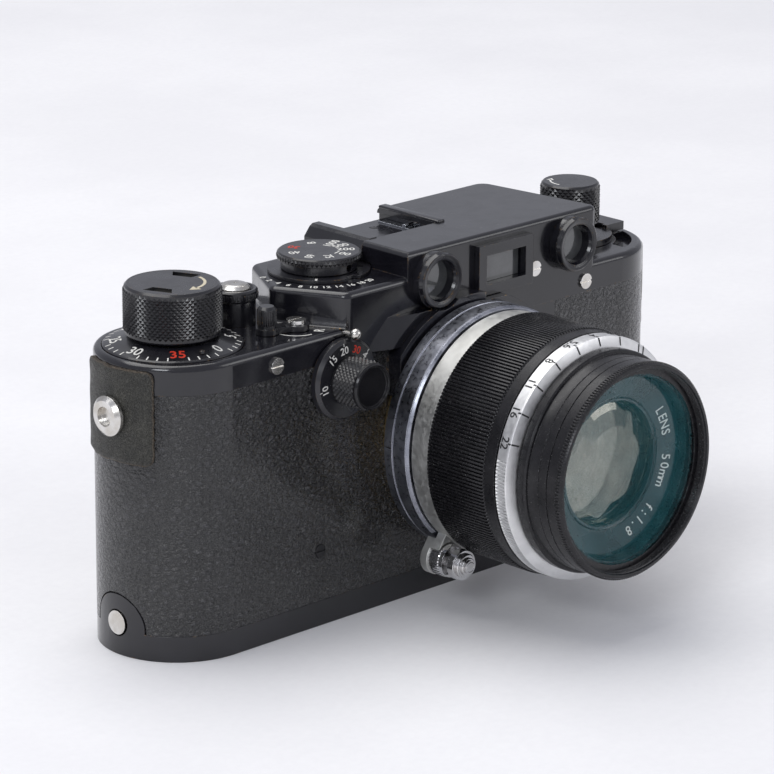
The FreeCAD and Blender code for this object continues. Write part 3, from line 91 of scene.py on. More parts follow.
class Finish:
    """One Principled material, with short calls for the nodes that feed it."""

    def __init__(self, name, **values):
        self.material = bpy.data.materials.new(name)
        self.material.use_nodes = True
        self.tree = self.material.node_tree
        self.tree.nodes.clear()
        output = self.tree.nodes.new("ShaderNodeOutputMaterial")
        self.shader = self.tree.nodes.new("ShaderNodeBsdfPrincipled")
        self.tree.links.new(self.shader.outputs["BSDF"], output.inputs["Surface"])
        self.normal = None
        for key, value in values.items():
            self.shader.inputs[key.replace("_", " ")].default_value = value
        place = self.node("ShaderNodeTexCoord")
        self.place = self.node("ShaderNodeMapping", {"Vector": place.outputs["Object"],
                                                     "Scale": (1000, 1000, 1000)}).outputs[0]

    def node(self, kind, inputs=None, **settings):
        made = self.tree.nodes.new(kind)
        for key, value in settings.items():
            setattr(made, key, value)
        for key, value in (inputs or {}).items():
            if isinstance(value, bpy.types.NodeSocket):
                self.tree.links.new(value, made.inputs[key])
            else:
                made.inputs[key].default_value = value
        return made

    def link(self, name, socket):
        self.tree.links.new(socket, self.shader.inputs[name])
        return self

    def stretched(self, scale):
        return self.node("ShaderNodeMapping", {"Vector": self.place, "Scale": scale}).outputs[0]

    def noise(self, scale, detail=4.0, rough=0.6):
        """Soft noise with this many features per millimetre."""
        made = self.node("ShaderNodeTexNoise", {
            "Vector": self.place, "Scale": scale, "Detail": detail, "Roughness": rough})
        return made.outputs["Fac"]

    def cells(self, scale, feature="F1", output="Distance", place=None):
        made = self.node("ShaderNodeTexVoronoi", {
            "Vector": place or self.place, "Scale": scale}, feature=feature)
        return made.outputs[output]

    def maths(self, operation, first, second=0.0):
        return self.node("ShaderNodeMath", {0: first, 1: second}, operation=operation).outputs[0]

    def span(self, value, low, high, to_low=0.0, to_high=1.0):
        """Smooth step of value from low..high to to_low..to_high."""
        made = self.node("ShaderNodeMapRange", {
            "Value": value, "From Min": low, "From Max": high, "To Min": to_low,
            "To Max": to_high}, interpolation_type="SMOOTHSTEP")
        return made.outputs["Result"]

    def mix(self, share, first, second):
        made = self.node("ShaderNodeMix", {"Factor": share}, data_type="RGBA")
        for key, value in (("A", first), ("B", second)):
            slot = next(s for s in made.inputs if s.name == key and s.type == "RGBA")
            if isinstance(value, bpy.types.NodeSocket):
                self.tree.links.new(value, slot)
            else:
                slot.default_value = (*value, 1)
        return next(s for s in made.outputs if s.type == "RGBA")

    def bump(self, height, depth, strength=1.0):
        """Bump of this depth in millimetres, on top of what is there already."""
        inputs = {"Height": height, "Distance": depth * MM, "Strength": strength}
        if self.normal:
            inputs["Normal"] = self.normal
        self.normal = self.node("ShaderNodeBump", inputs).outputs["Normal"]
        return self.link("Normal", self.normal)

    def rounded(self, radius):
        """Rounds the look of hard edges, and gives a mask that is 1 on them."""
        bevel = self.node("ShaderNodeBevel", {"Radius": radius * MM}, samples=6)
        self.normal = bevel.outputs["Normal"]
        self.link("Normal", self.normal)
        wide = self.node("ShaderNodeBevel", {"Radius": radius * 1.6 * MM}, samples=6)
        face = self.node("ShaderNodeNewGeometry").outputs["Normal"]
        dot = self.node("ShaderNodeVectorMath", {0: wide.outputs["Normal"], 1: face},
                        operation="DOT_PRODUCT").outputs["Value"]
        return self.span(self.maths("SUBTRACT", 1.0, dot), 0.015, 0.16)

    def upward(self):
        """Share of a surface that faces up, where dust settles."""
        face = self.node("ShaderNodeNewGeometry").outputs["Normal"]
        parts = self.node("ShaderNodeSeparateXYZ", {"Vector": face}).outputs
        return self.span(parts["Z"], 0.6, 0.95)


def enamel(name, rough, wear, dust, edge=0.22):
    """Black paint on brass: satin haze, dust, scratches, and brass where the edges are worn."""
    f = Finish(name, Coat_Weight=0.35, Coat_Roughness=0.08)
    corner = f.rounded(edge)
    patch = f.span(f.noise(0.35, 6, 0.7), 0.52, 0.62)
    chips = f.span(f.noise(2.6, 5, 0.75), 0.46, 0.6)
    worn = f.maths("MULTIPLY", f.maths("MULTIPLY", corner, patch), chips)
    worn = f.maths("MULTIPLY", worn, wear)
    rubbed = f.span(f.noise(0.09, 5, 0.65), 0.35, 0.7)
    black = f.mix(rubbed, (0.0055, 0.0055, 0.008), (0.011, 0.0105, 0.0145))
    specks = f.maths("LESS_THAN", f.cells(1.4), 0.055)
    chosen = f.span(f.cells(1.4, output="Color"), 0.62, 0.66)
    dusty = f.maths("MULTIPLY", f.maths("MULTIPLY", specks, chosen), f.upward())
    dusty = f.maths("MULTIPLY", dusty, dust)
    colour = f.mix(dusty, f.mix(worn, black, (0.36, 0.21, 0.075)), (0.5, 0.49, 0.46))
    f.link("Base Color", colour)
    f.link("Metallic", worn)
    haze = f.span(f.noise(0.22, 5, 0.7), 0.3, 0.7, rough, rough + 0.12)
    f.link("Roughness", f.maths("ADD", haze, f.maths("MULTIPLY", dusty, 0.4)))
    f.bump(f.noise(0.22, 3, 0.5), 0.02)
    f.bump(f.noise(3.0, 3, 0.5), 0.0015)
    return f.material


def vulcanite():
    """Moulded black covering with an irregular pebble grain, its crowns painted lighter and bluish
    as a painted sheen and its creases painted darker as painted shade.
    """
    f = Finish("vulcanite", Specular_IOR_Level=0.7, Coat_Weight=0.55, Coat_Roughness=0.16)
    long_way = f.stretched((0.75, 0.75, 1.15))
    drift = f.node("ShaderNodeTexNoise", {"Vector": long_way, "Scale": 0.75, "Detail": 3.0})
    moved = f.node("ShaderNodeVectorMath", {0: long_way, 1: drift.outputs["Color"]},
                   operation="ADD").outputs[0]
    pebbles = f.span(f.cells(0.8, "SMOOTH_F1", place=moved), 0.75, 0.1, 0.35, 1.0)
    creases = f.span(f.cells(0.8, "DISTANCE_TO_EDGE", place=moved), 0.0, 0.3)
    fine = f.span(f.cells(2.2, "DISTANCE_TO_EDGE", place=moved), 0.0, 0.3)
    crowns = f.maths("MULTIPLY", creases, pebbles)
    grain = f.maths("ADD", crowns, f.maths("MULTIPLY", fine, 0.3))
    tone = f.span(f.noise(0.12, 5, 0.65), 0.3, 0.7)
    # deep is painted shade in the creases; crest is a lighter, bluish painted sheen on the pebble
    # crowns
    deep = f.mix(tone, (0.004, 0.004, 0.0048), (0.009, 0.009, 0.0105))
    crest = f.mix(tone, (0.026, 0.026, 0.03), (0.046, 0.046, 0.052))
    f.link("Base Color", f.mix(crowns, deep, crest))
    f.link("Roughness", f.span(f.noise(2.2, 4, 0.65), 0.3, 0.75, 0.2, 0.38))
    f.bump(grain, 1.0, 1.3)
    f.bump(f.noise(9.0, 2, 0.5), 0.012)
    return f.material


def worn_leather():
    """Grey-olive strap guard, creased, with a brown raw edge."""
    f = Finish("worn_leather", Sheen_Weight=0.03, Sheen_Roughness=0.4, Coat_Weight=0.12,
               Coat_Roughness=0.35)
    edge = f.rounded(0.5)
    drift = f.node("ShaderNodeTexNoise", {"Vector": f.place, "Scale": 1.5, "Detail": 3.0})
    moved = f.node("ShaderNodeVectorMath", {0: f.place, 1: drift.outputs["Color"]},
                   operation="ADD").outputs[0]
    grain = f.span(f.cells(1.9, "DISTANCE_TO_EDGE", place=moved), 0.0, 0.22)
    tone = f.span(f.noise(0.3, 6, 0.7), 0.3, 0.7)
    skin = f.mix(tone, (0.02, 0.0195, 0.0155), (0.052, 0.05, 0.039))
    f.link("Base Color", f.mix(f.maths("MULTIPLY", edge, 0.8), skin, (0.16, 0.105, 0.06)))
    f.link("Roughness", f.span(f.noise(1.1, 4, 0.7), 0.3, 0.7, 0.36, 0.58))
    f.bump(grain, 0.45, 1.0)
    f.bump(f.noise(5.0, 5, 0.7), 0.1)
    return f.material


def metal(name, light, dark, rough, spread, grain=0.006, edge=0.12):
    """Bare or plated metal: mottled tone, uneven polish, fine tool marks, and a painted highlight
    along its hard edges.
    """
    f = Finish(name, Metallic=1.0)
    corner = f.rounded(edge)
    tone = f.span(f.noise(0.3, 4, 0.6), 0.3, 0.72)
    stain = f.span(f.noise(1.3, 5, 0.7), 0.58, 0.75)
    base = f.mix(tone, dark, light)
    base = f.mix(f.maths("MULTIPLY", stain, 0.2), base, tuple(0.45 * c for c in dark))
    # every hard edge is painted lighter here: a painted highlight along the edges
    f.link("Base Color", f.mix(corner, base, tuple(min(1, 1.15 * c) for c in light)))
    f.link("Roughness", f.span(f.noise(1.2, 3, 0.6), 0.3, 0.7, rough, rough + spread))
    f.bump(f.noise(7.0, 3, 0.6), grain)
    return f.material


def anodised(name, rough=0.24, edge=0.15, dust=0.5):
    """Black anodised aluminium, slightly brown, bare at the sharpest edges."""
    f = Finish(name, Metallic=0.25)
    corner = f.rounded(edge)
    chips = f.span(f.noise(4.2, 5, 0.75), 0.57, 0.66)
    bare = f.maths("MULTIPLY", corner, chips)
    tone = f.span(f.noise(0.4, 5, 0.7), 0.3, 0.7)
    black = f.mix(tone, (0.007, 0.007, 0.0085), (0.0135, 0.0128, 0.015))
    specks = f.maths("MULTIPLY", f.maths("LESS_THAN", f.cells(1.7), 0.075),
                     f.span(f.cells(1.7, output="Color"), 0.66, 0.7))
    specks = f.maths("MULTIPLY", specks, dust)
    base = f.mix(f.maths("MULTIPLY", bare, 0.8), black, (0.42, 0.42, 0.43))
    f.link("Base Color", f.mix(specks, base, (0.55, 0.55, 0.53)))
    f.link("Roughness", f.span(f.noise(1.3, 4, 0.7), 0.3, 0.7, rough, rough + 0.13))
    f.bump(f.noise(3.5, 3, 0.5), 0.0015)
    return f.material


def knurled(name, tip):
    """Black knurling whose points are rubbed down, by the piece's own point attribute."""
    f = Finish(name, Coat_Weight=0.25, Coat_Roughness=0.15)
    height = f.node("ShaderNodeAttribute", attribute_name="crest").outputs["Fac"]
    rubbed = f.maths("MULTIPLY", f.span(height, 0.86, 1.0), f.span(f.noise(0.8, 4, 0.7), 0.46, 0.72))
    grime = f.span(f.noise(2.0, 4, 0.7), 0.3, 0.7)
    black = f.mix(grime, (0.006, 0.006, 0.007), (0.016, 0.015, 0.017))
    f.link("Base Color", f.mix(rubbed, black, tip))
    f.link("Metallic", f.maths("MULTIPLY", rubbed, 0.9))
    f.link("Roughness", f.span(grime, 0.0, 1.0, 0.2, 0.35))
    f.bump(f.noise(5.0, 3, 0.6), 0.003)
    return f.material


def paint(name, colour):
    """Paint in engraved marks, a little dirty."""
    f = Finish(name, Roughness=0.55)
    dirt = f.span(f.noise(1.8, 5, 0.75), 0.45, 0.75, 0.0, 0.55)
    f.link("Base Color", f.mix(dirt, colour, tuple(0.4 * c for c in colour)))
    f.bump(f.noise(6.0, 3, 0.6), 0.004)
    return f.material


def coated_glass(name, colour, share, grazing, rough=0.02):
    """Lens glass: mostly clear, with the coloured reflection of its coating."""
    f = Finish(name, Metallic=1.0)
    smear = f.span(f.noise(0.14, 5, 0.6), 0.35, 0.75)
    f.link("Base Color", f.mix(smear, colour, tuple(min(1, 1.5 * c + 0.05) for c in colour)))
    f.link("Roughness", f.span(smear, 0.0, 1.0, rough, rough + 0.05))
    rim = f.node("ShaderNodeLayerWeight", {"Blend": 0.3}).outputs["Facing"]
    f.link("Alpha", f.span(rim, 0.0, 1.0, share, grazing))
    return f.material


def pane(name, tone, rough):
    """Thick window glass in front of a dark inside."""
    f = Finish(name, Coat_Weight=1.0, Coat_Roughness=0.02, IOR=1.52)
    haze = f.span(f.noise(0.25, 5, 0.65), 0.3, 0.7)
    f.link("Base Color", f.mix(haze, tuple(0.7 * c for c in tone), tone))
    f.link("Roughness", f.span(haze, 0.0, 1.0, rough, rough + 0.12))
    f.bump(f.noise(0.4, 2, 0.5), 0.01)
    return f.material


def black_with_painted_teal(name, deep, light):
    """Glossy black lacquer with a teal tint painted in: a painted reflection of the lens coating."""
    f = Finish(name, Coat_Weight=0.5, Coat_Roughness=0.1)
    f.rounded(0.1)
    tone = f.span(f.noise(0.15, 4, 0.6), 0.3, 0.7)
    f.link("Base Color", f.mix(tone, deep, light))
    f.link("Roughness", f.span(tone, 0.0, 1.0, 0.25, 0.36))
    f.bump(f.noise(2.0, 3, 0.5), 0.001)
    return f.material


def rough_cloth(name, colour, weave):
    """Woven rubberised cloth or plain card, by the scale of its weave."""
    f = Finish(name, Roughness=0.85)
    threads = f.node("ShaderNodeTexWave", {"Vector": f.place, "Scale": weave, "Distortion": 0.6})
    tone = f.span(f.noise(0.6, 5, 0.7), 0.3, 0.7)
    f.link("Base Color", f.mix(tone, tuple(0.7 * c for c in colour), colour))
    f.bump(threads.outputs["Fac"], 0.02)
    return f.material


ENAMEL = enamel("black_enamel", 0.13, 0.9, 1.0)
ENAMEL_KNOBS = enamel("black_knobs", 0.24, 1.0, 0.6, 0.16)
LEATHER = worn_leather()
NICKEL = metal("nickel", (0.76, 0.75, 0.73), (0.58, 0.55, 0.5), 0.2, 0.07, 0.0004, 0.05)
SATIN = metal("satin_chrome", (0.4, 0.41, 0.46), (0.22, 0.23, 0.27), 0.25, 0.14, 0.003)
SILVER = metal("silver_aluminium", (0.84, 0.84, 0.84), (0.72, 0.72, 0.72), 0.36, 0.12, 0.003)
CHROME = metal("bright_chrome", (0.8, 0.8, 0.81), (0.6, 0.59, 0.58), 0.12, 0.06, 0.0003, 0.04)
ANODISED = anodised("black_anodised")
GRIP = anodised("fluted_grip", 0.2, 0.1, 1.0)
KNURL_BRASS = knurled("knurl_brass", (0.2, 0.15, 0.09))
KNURL_STEEL = knurled("knurl_steel", (0.4, 0.4, 0.42))
WHITE = paint("white_marks", (0.75, 0.74, 0.7))
CREAM = paint("cream_marks", (0.6, 0.54, 0.4))
RED = paint("red_marks", (0.62, 0.035, 0.012))
INK = paint("black_marks", (0.012, 0.012, 0.014))

FINISHES = {
    "black_enamel": ENAMEL,
    "black_knobs": ENAMEL_KNOBS,
    "vulcanite": vulcanite(),
    "worn_leather": LEATHER,
    "cast_alloy": metal("cast_alloy", (0.42, 0.42, 0.43), (0.26, 0.26, 0.27), 0.45, 0.2, 0.03),
    "nickel": NICKEL,
    "black_screw": anodised("black_screw", 0.28),
    "plated_brass": metal("plated_brass", (0.66, 0.52, 0.3), (0.4, 0.3, 0.16), 0.22, 0.2),
    "blued_steel": metal("blued_steel", (0.1, 0.11, 0.15), (0.04, 0.045, 0.06), 0.3, 0.15),
    "spool_black": anodised("spool_black", 0.4),
    "curtain_cloth": rough_cloth("curtain_cloth", (0.02, 0.02, 0.02), 4.0),
    "reminder_card": rough_cloth("reminder_card", (0.55, 0.54, 0.45), 1.5),
    "satin_chrome": SATIN,
    "bright_chrome": CHROME,
    "black_anodised": ANODISED,
    "silver_aluminium": SILVER,
    "optical_glass": coated_glass("optical_glass", (0.5, 0.48, 0.42), 0.24, 0.5),
}
NODE_FINISHES = {
    "window_glasses": pane("window_glass", (0.085, 0.088, 0.09), 0.05),
    "finder_prisms": pane("prism_glass", (0.3, 0.31, 0.3), 0.1),
    "filter_glass": coated_glass("filter_coating", (0.03, 0.26, 0.3), 0.016, 0.3, 0.01),
    "focus_ring": metal("matt_silver", (0.68, 0.68, 0.66), (0.52, 0.52, 0.5), 0.38, 0.16, 0.02),
    "slow_speed_knob": anodised("knob_cap", 0.12, 0.2, 0.1),
    "shoe_spring": metal("spring_chrome", (0.6, 0.62, 0.66), (0.4, 0.41, 0.44), 0.15, 0.15),
    "front_barrel": ANODISED,
    # the name ring's teal tint is a painted reflection of the filter coating
    "name_ring": black_with_painted_teal("name_ring_painted_teal", (0.005, 0.012, 0.015), (0.009, 0.021, 0.026)),
}

for subpart in frame["record"]["subparts"]:
    shown = frame["nodes"][subpart["node"]]
    shown.data.materials.clear()
    shown.data.materials.append(
        NODE_FINISHES.get(subpart["node"], FINISHES[subpart["material_slot"]]))


# ---------------------------------------------------------------- mesh pieces


def build(name, points, faces, finish, body, sharp=32, crest=None):
    """Mesh piece in the frame, riding on a body. sharp=0 keeps every face flat."""
    mesh = bpy.data.meshes.new(name)
    mesh.from_pydata(points, [], faces)
    work = bmesh.new()
    work.from_mesh(mesh)
    bmesh.ops.recalc_face_normals(work, faces=work.faces)
    work.to_mesh(mesh)
    work.free()
    if sharp:
        mesh.shade_smooth()
        mesh.set_sharp_from_angle(angle=math.radians(sharp))
    if crest:
        mesh.attributes.new("crest", "FLOAT", "POINT").data.foreach_set("value", crest)
    mesh.materials.append(finish)
    piece = bpy.data.objects.new(name, mesh)
    bpy.context.scene.collection.objects.link(piece)
    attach(piece, body)
    return piece


def even(count):
    """Plain directions for a turned piece."""
    return [(TURN * k / count, 0.0) for k in range(count)]


def flutes(count, depth, land=0.5, sectors=None):
    """Directions with grooves cut between lands; sectors limits them to spans of degrees."""
    directions = []
    for k in range(count):
        start = TURN * k / count
        cut = -depth
        if sectors:
            degrees = 360.0 * k / count
            cut = -depth if any(low <= degrees <= high for low, high in sectors) else 0.0
        flank = (1 - land) * 0.25
        directions += [(start + TURN * share / count, dip) for share, dip in (
            (0, 0.0), (land, 0.0), (land + flank, cut), (1 - flank, cut))]
    return directions


def turned(name, outline, directions, spot, finish, body, sharp=32):
    """Ring turned from a closed outline of (radius, along, share of the grooves)."""
    points = []
    for angle, dip in directions:
        for radius, along, *share in outline:
            reach = radius + dip * (share[0] if share else 0)
            points.append(spot @ Vector((reach * math.cos(angle), reach * math.sin(angle), along)))
    rows, rounds = len(outline), len(directions)
    faces = [(k * rows + j, k * rows + (j + 1) % rows,
              (k + 1) % rounds * rows + (j + 1) % rows, (k + 1) % rounds * rows + j)
             for k in range(rounds) for j in range(rows)]
    return build(name, points, faces, finish, body, sharp)


def diamonds(name, radius, low, high, around, depth, spot, finish, body):
    """Sleeve of diamond knurling: each point is a pyramid between crossing grooves."""
    pitch = TURN * radius / around
    rows = 2 * max(1, round((high - low) / pitch))
    columns = 2 * around
    points, crest = [], []
    for j in range(rows + 1):
        along = low + (high - low) * j / rows
        for i in range(columns):
            raised = (i + j) % 2 if 0 < j < rows else 0
            reach = radius + 0.01 + depth * raised
            angle = TURN * i / columns
            points.append((reach * math.cos(angle), reach * math.sin(angle), along))
            crest.append(float(raised))
    faces = []
    for j in range(rows):
        for i in range(columns):
            a, b = j * columns + i, j * columns + (i + 1) % columns
            c, d = b + columns, a + columns
            if (i + j) % 2:
                faces += [(a, b, d), (b, c, d)]
            else:
                faces += [(a, b, c), (a, c, d)]
    inner = len(points)
    for along in (low, high):
        for i in range(columns):
            angle = TURN * i / columns
            reach = radius - 0.25
            points.append((reach * math.cos(angle), reach * math.sin(angle), along))
            crest.append(0.0)
    top = rows * columns
    for i in range(columns):
        n = (i + 1) % columns
        faces += [(i, n, inner + n, inner + i),
                  (top + i, top + n, inner + columns + n, inner + columns + i),
                  (inner + i, inner + n, inner + columns + n, inner + columns + i)]
    return build(name, [spot @ Vector(p) for p in points], faces, finish, body, 0, crest)


# ---------------------------------------------------------------- marks


def text(words, height, bold=0.0):
    """Thin solid letters, centred, this many millimetres high."""
    cap_share = 0.7
    curve = bpy.data.curves.new("letters", "FONT")
    curve.body = words
    curve.size = height / cap_share
    curve.align_x = "CENTER"
    curve.align_y = "CENTER"
    curve.extrude = MARK
    curve.offset = bold
    curve.resolution_u = 3
    holder = bpy.data.objects.new("letters", curve)
    mesh = bpy.data.meshes.new_from_object(holder)
    points = [v.co.copy() for v in mesh.vertices]
    faces = [tuple(p.vertices) for p in mesh.polygons]
    bpy.data.objects.remove(holder)
    bpy.data.curves.remove(curve)
    bpy.data.meshes.remove(mesh)
    return points, faces


def line(width, length):
    """Thin solid stroke, standing upright, centred."""
    x, y, z = width / 2, length / 2, MARK
    points = [Vector((sx * x, sy * y, sz * z)) for sz in (-1, 1) for sx, sy in (
        (-1, -1), (1, -1), (1, 1), (-1, 1))]
    faces = [(3, 2, 1, 0), (4, 5, 6, 7), (0, 1, 5, 4), (1, 2, 6, 5), (2, 3, 7, 6), (3, 0, 4, 7)]
    return points, faces


def arc(radius, start, end, width, steps=24):
    """Thin solid band along an arc about the local origin, in degrees."""
    points, faces = [], []
    for k in range(steps + 1):
        angle = math.radians(start + (end - start) * k / steps)
        for reach in (radius - width / 2, radius + width / 2):
            for z in (-MARK, MARK):
                points.append(Vector((reach * math.cos(angle), reach * math.sin(angle), z)))
    for k in range(steps):
        a = 4 * k
        faces += [(a, a + 4, a + 6, a + 2), (a + 1, a + 3, a + 7, a + 5),
                  (a, a + 1, a + 5, a + 4), (a + 2, a + 6, a + 7, a + 3)]
    end_face = 4 * steps
    faces += [(0, 2, 3, 1), (end_face, end_face + 1, end_face + 3, end_face + 2)]
    return points, faces


def arrow_head(length, half_width):
    """Thin solid triangle that points along local -X."""
    corners = ((-length / 2, 0), (length / 2, half_width), (length / 2, -half_width))
    points = [Vector((x, y, z)) for z in (-MARK, MARK) for x, y in corners]
    return points, [(0, 1, 2), (3, 5, 4), (0, 3, 4, 1), (1, 4, 5, 2), (2, 5, 3, 0)]


def on_disc(spot, radius, degrees, along, spin=0.0, slope=0.0):
    """Lays a mark on a disc or cone across the axis, its foot outward when spin is 0."""
    angle = math.radians(degrees)
    centre = Vector((radius * math.cos(angle), radius * math.sin(angle), 0))
    turn = Matrix.Rotation(angle + math.pi / 2 + math.radians(spin), 4, "Z")

    def lay(p):
        flat = centre + turn @ Vector((p.x, p.y, 0))
        drop = slope * (flat.length - radius)
        return spot @ Vector((flat.x, flat.y, along + drop + p.z))
    return lay


def on_wall(spot, radius, degrees, along):
    """Wraps a mark round a cylinder."""
    def lay(p):
        angle = math.radians(degrees) + p.x / radius
        reach = radius + p.z
        return spot @ Vector((reach * math.cos(angle), reach * math.sin(angle), along + p.y))
    return lay


def marks(name, shapes, finish, body):
    """One piece made of several marks, each a shape and the way it is laid."""
    points, faces = [], []
    for (shape_points, shape_faces), lay in shapes:
        first = len(points)
        points += [lay(p) for p in shape_points]
        faces += [tuple(first + i for i in face) for face in shape_faces]
    return build(name, points, faces, finish, body)


# ---------------------------------------------------------------- winding end


def wind_knob():
    knob = measure("wind_knob")
    spot = knob.spot
    diamonds("wind_knob_knurl", knob.radius, knob.start + 0.9, knob.end - 0.65, 54, 0.3, spot,
             KNURL_BRASS, "wind_knob")
    turned("wind_knob_screw", [(0.35, 8.9), (0.85, 8.9), (0.85, 9.16), (0.7, 9.24), (0.35, 9.1)],
           even(24), spot_at((knob.x, knob.y, knob.start + 1.9),
                             Matrix.Rotation(math.radians(-76), 4, "Z")
                             @ Matrix.Rotation(math.pi / 2, 4, "Y")),
           INK, "wind_knob")
    top = knob.end + MARK
    marks("wind_knob_arrow", [
        (arc(6.0, -86, -8, 0.55), on_disc(spot, 0, -90, top)),
        (arrow_head(1.9, 1.2), on_disc(spot, 6.0, -92, top)),
    ], CREAM, "wind_knob")


def counter_dial():
    dial = measure("counter_dial")
    slope = -1.2 / 4.2
    crown, numbers_at, ticks_at, stud_at = 8.6, 10.75, 12.75, 11
    tall = 2.2

    def height(radius):
        """How high the cone stands at this radius."""
        return dial.end + slope * (radius - crown) + MARK
    red_at = 233.0
    step = 45.0
    white = []
    for k in range(8):
        degrees = red_at + step * (k + 1)
        words = str(5 * k)
        if words != "35":
            white.append((text(words, tall, 0.03), on_disc(
                dial.spot, numbers_at, degrees, height(numbers_at), 0, slope)))
    tick = 1.0
    inner = ticks_at - tick / 2
    for k in range(40):
        if k % 5:
            white.append((line(0.26, tick), on_disc(dial.spot, inner, red_at + 9 * k,
                                                   height(inner), 0, slope)))
    marks("counter_numbers", white, WHITE, "counter_dial")
    marks("counter_red_number", [
        (text("35", tall, 0.04),
         on_disc(dial.spot, numbers_at, red_at, height(numbers_at), 0, slope)),
    ], RED, "counter_dial")
    stud = math.radians(red_at + 24)
    foot = height(stud_at)
    place = Vector((stud_at * math.cos(stud), stud_at * math.sin(stud), 0))
    turned("counter_stud", [(0.12, foot), (0.55, foot), (0.55, foot + 0.5), (0.4, foot + 0.62),
                            (0.12, foot + 0.62)],
           even(20), dial.spot @ Matrix.Translation(place), ENAMEL_KNOBS, "counter_dial")


def release():
    collar = measure("release_collar")
    lip = collar.end
    turned("release_collar_lip", [
        (4.1, lip - 1.75), (4.45, lip - 1.65, 1), (4.5, lip - 1.2, 1), (4.45, lip - 0.75, 1),
        (4.1, lip - 0.65)], flutes(40, 0.16), collar.spot, ENAMEL_KNOBS,
        "camera_body")
    button = measure("release_button")
    top = button.end
    rings = [(0.25, top - 0.15), (2.45, top - 0.2), (2.35, top - 0.02), (2.05, top + 0.1),
             (1.5, top + 0.17), (0.8, top + 0.19), (0.25, top + 0.12)]
    turned("release_button_dome", rings, even(48), button.spot, NICKEL,
           "release_button")


def lever_pin():
    low, high = (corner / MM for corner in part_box("rewind_release_lever"))
    pin_x, pin_y, pin_radius = low.x + 2.1, -7.5, 1.75
    spot = spot_at((pin_x, pin_y, 0))
    top = high.z
    turned("lever_pin_knurl", [
        (pin_radius - 0.3, 59.0), (pin_radius + 0.02, 59.0), (pin_radius + 0.12, 59.2, 1),
        (pin_radius + 0.12, top - 0.75, 1), (pin_radius - 0.1, top - 0.45),
        (pin_radius - 0.3, top - 0.45)], flutes(26, 0.16, 0.45), spot, ENAMEL_KNOBS,
        "rewind_release_lever")
    pivot = spot_at((-30.8, -9.0, 0))
    deck_top = DECK + MARK
    marks("deck_marks", [
        (arc(4.4, 178, 268, 0.26, 32), on_disc(pivot, 0, -90, deck_top)),
        (text("R", 1.9, 0.03), on_disc(pivot, 4.5, 306, deck_top, 0)),
    ], WHITE, "camera_body")


# ---------------------------------------------------------------- speed dials


def speed_dial():
    dial = measure("speed_dial")
    spot = dial.spot
    diamonds("speed_dial_knurl", dial.radius, dial.end - 1.45, dial.end - 0.25, 58, 0.2, spot,
             KNURL_BRASS, "speed_dial")
    top = dial.end + MARK
    speeds = (("1000", 18), ("500", 352), ("200", 320), ("100", 285), ("75", 246), ("60", 205),
              ("40", 160), ("B", 62))
    marks("speed_numbers", [
        (text(words, 1.65, 0.02), on_disc(spot, 5.1, degrees, top, -90))
        for words, degrees in speeds], WHITE, "speed_dial")
    marks("speed_red_number", [(text("30", 1.65, 0.02), on_disc(spot, 5.1, 115, top, -90))],
          RED, "speed_dial")
    platform = PLATFORM + MARK
    ring = measure("sync_ring")
    steps = [(text(str(2 * k), 1.25, 0.015), on_disc(spot, 11.7, 161 + 12 * k, platform, 0))
             for k in range(11)]
    marks("sync_numbers", steps, WHITE, "camera_body")
    marks("sync_index", [(line(0.45, 1.3), on_disc(spot, 9.0, 223, ring.end + MARK))],
          WHITE, "sync_ring")


def slow_dial():
    dial = measure("slow_speed_dial", FRONT)
    knob = measure("slow_speed_knob", FRONT)
    face = dial.end + MARK
    numbers = (("10", 190), ("15", 131), ("20", 99), ("4", 42), ("2", 18), ("1", 350))
    shapes = [(text(words, 1.45, 0.02), on_disc(dial.spot, 5.8, degrees, face, 180))
              for words, degrees in numbers]
    shapes += [(line(0.14, 0.6), on_disc(dial.spot, 7.0, degrees, face))
               for _, degrees in numbers]
    marks("slow_numbers", shapes, WHITE, "slow_speed_dial")
    marks("slow_red_number", [(text("30", 1.45, 0.02), on_disc(dial.spot, 5.8, 68, face, 180))],
          RED, "slow_speed_dial")
    turned("slow_dial_ring", [(7.05, face - 0.08), (7.14, face), (7.2, face), (7.24, face - 0.08)],
           even(96), dial.spot, KNURL_STEEL, "slow_speed_dial")
    diamonds("slow_knob_knurl", knob.radius, knob.start + 0.35, knob.end - 0.75, 30, 0.24,
             knob.spot, KNURL_STEEL, "slow_speed_dial")


# ---------------------------------------------------------------- windows and rewinding end


def window_ring_edges():
    low, high = (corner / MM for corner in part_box("window_rings"))
    front = -low.y
    radius = (high.z - low.z) / 2
    for side, x in (("left", low.x + radius), ("right", high.x - radius)):
        spot = spot_at((x, 0, (low.z + high.z) / 2), FRONT)
        turned("window_serration_" + side, [
            (radius - 0.3, front - 1.35), (radius + 0.08, front - 1.3, 1),
            (radius + 0.08, front - 0.85, 1), (radius - 0.3, front - 0.8)],
            flutes(84, 0.12), spot, ENAMEL, "camera_body")
        turned("window_lip_" + side, [
            (4.0, front - 0.25), (4.35, front + 0.0), (radius - 0.45, front + 0.1),
            (radius - 0.22, front - 0.05), (radius - 0.5, front - 0.4)],
            even(96), spot, ENAMEL_KNOBS, "camera_body")


def rewind_knob():
    knob = measure("rewind_knob")
    diamonds("rewind_knob_knurl", knob.radius, knob.start + 1.5, knob.end - 0.5, 32, 0.26,
             knob.spot, KNURL_BRASS, "rewind_knob")
    top = knob.end + MARK
    marks("rewind_arrow", [
        (arc(4.0, 120, 190, 0.34), on_disc(knob.spot, 0, -90, top)),
        (arrow_head(1.3, 0.75), on_disc(knob.spot, 4.0, 118, top)),
    ], WHITE, "rewind_knob")


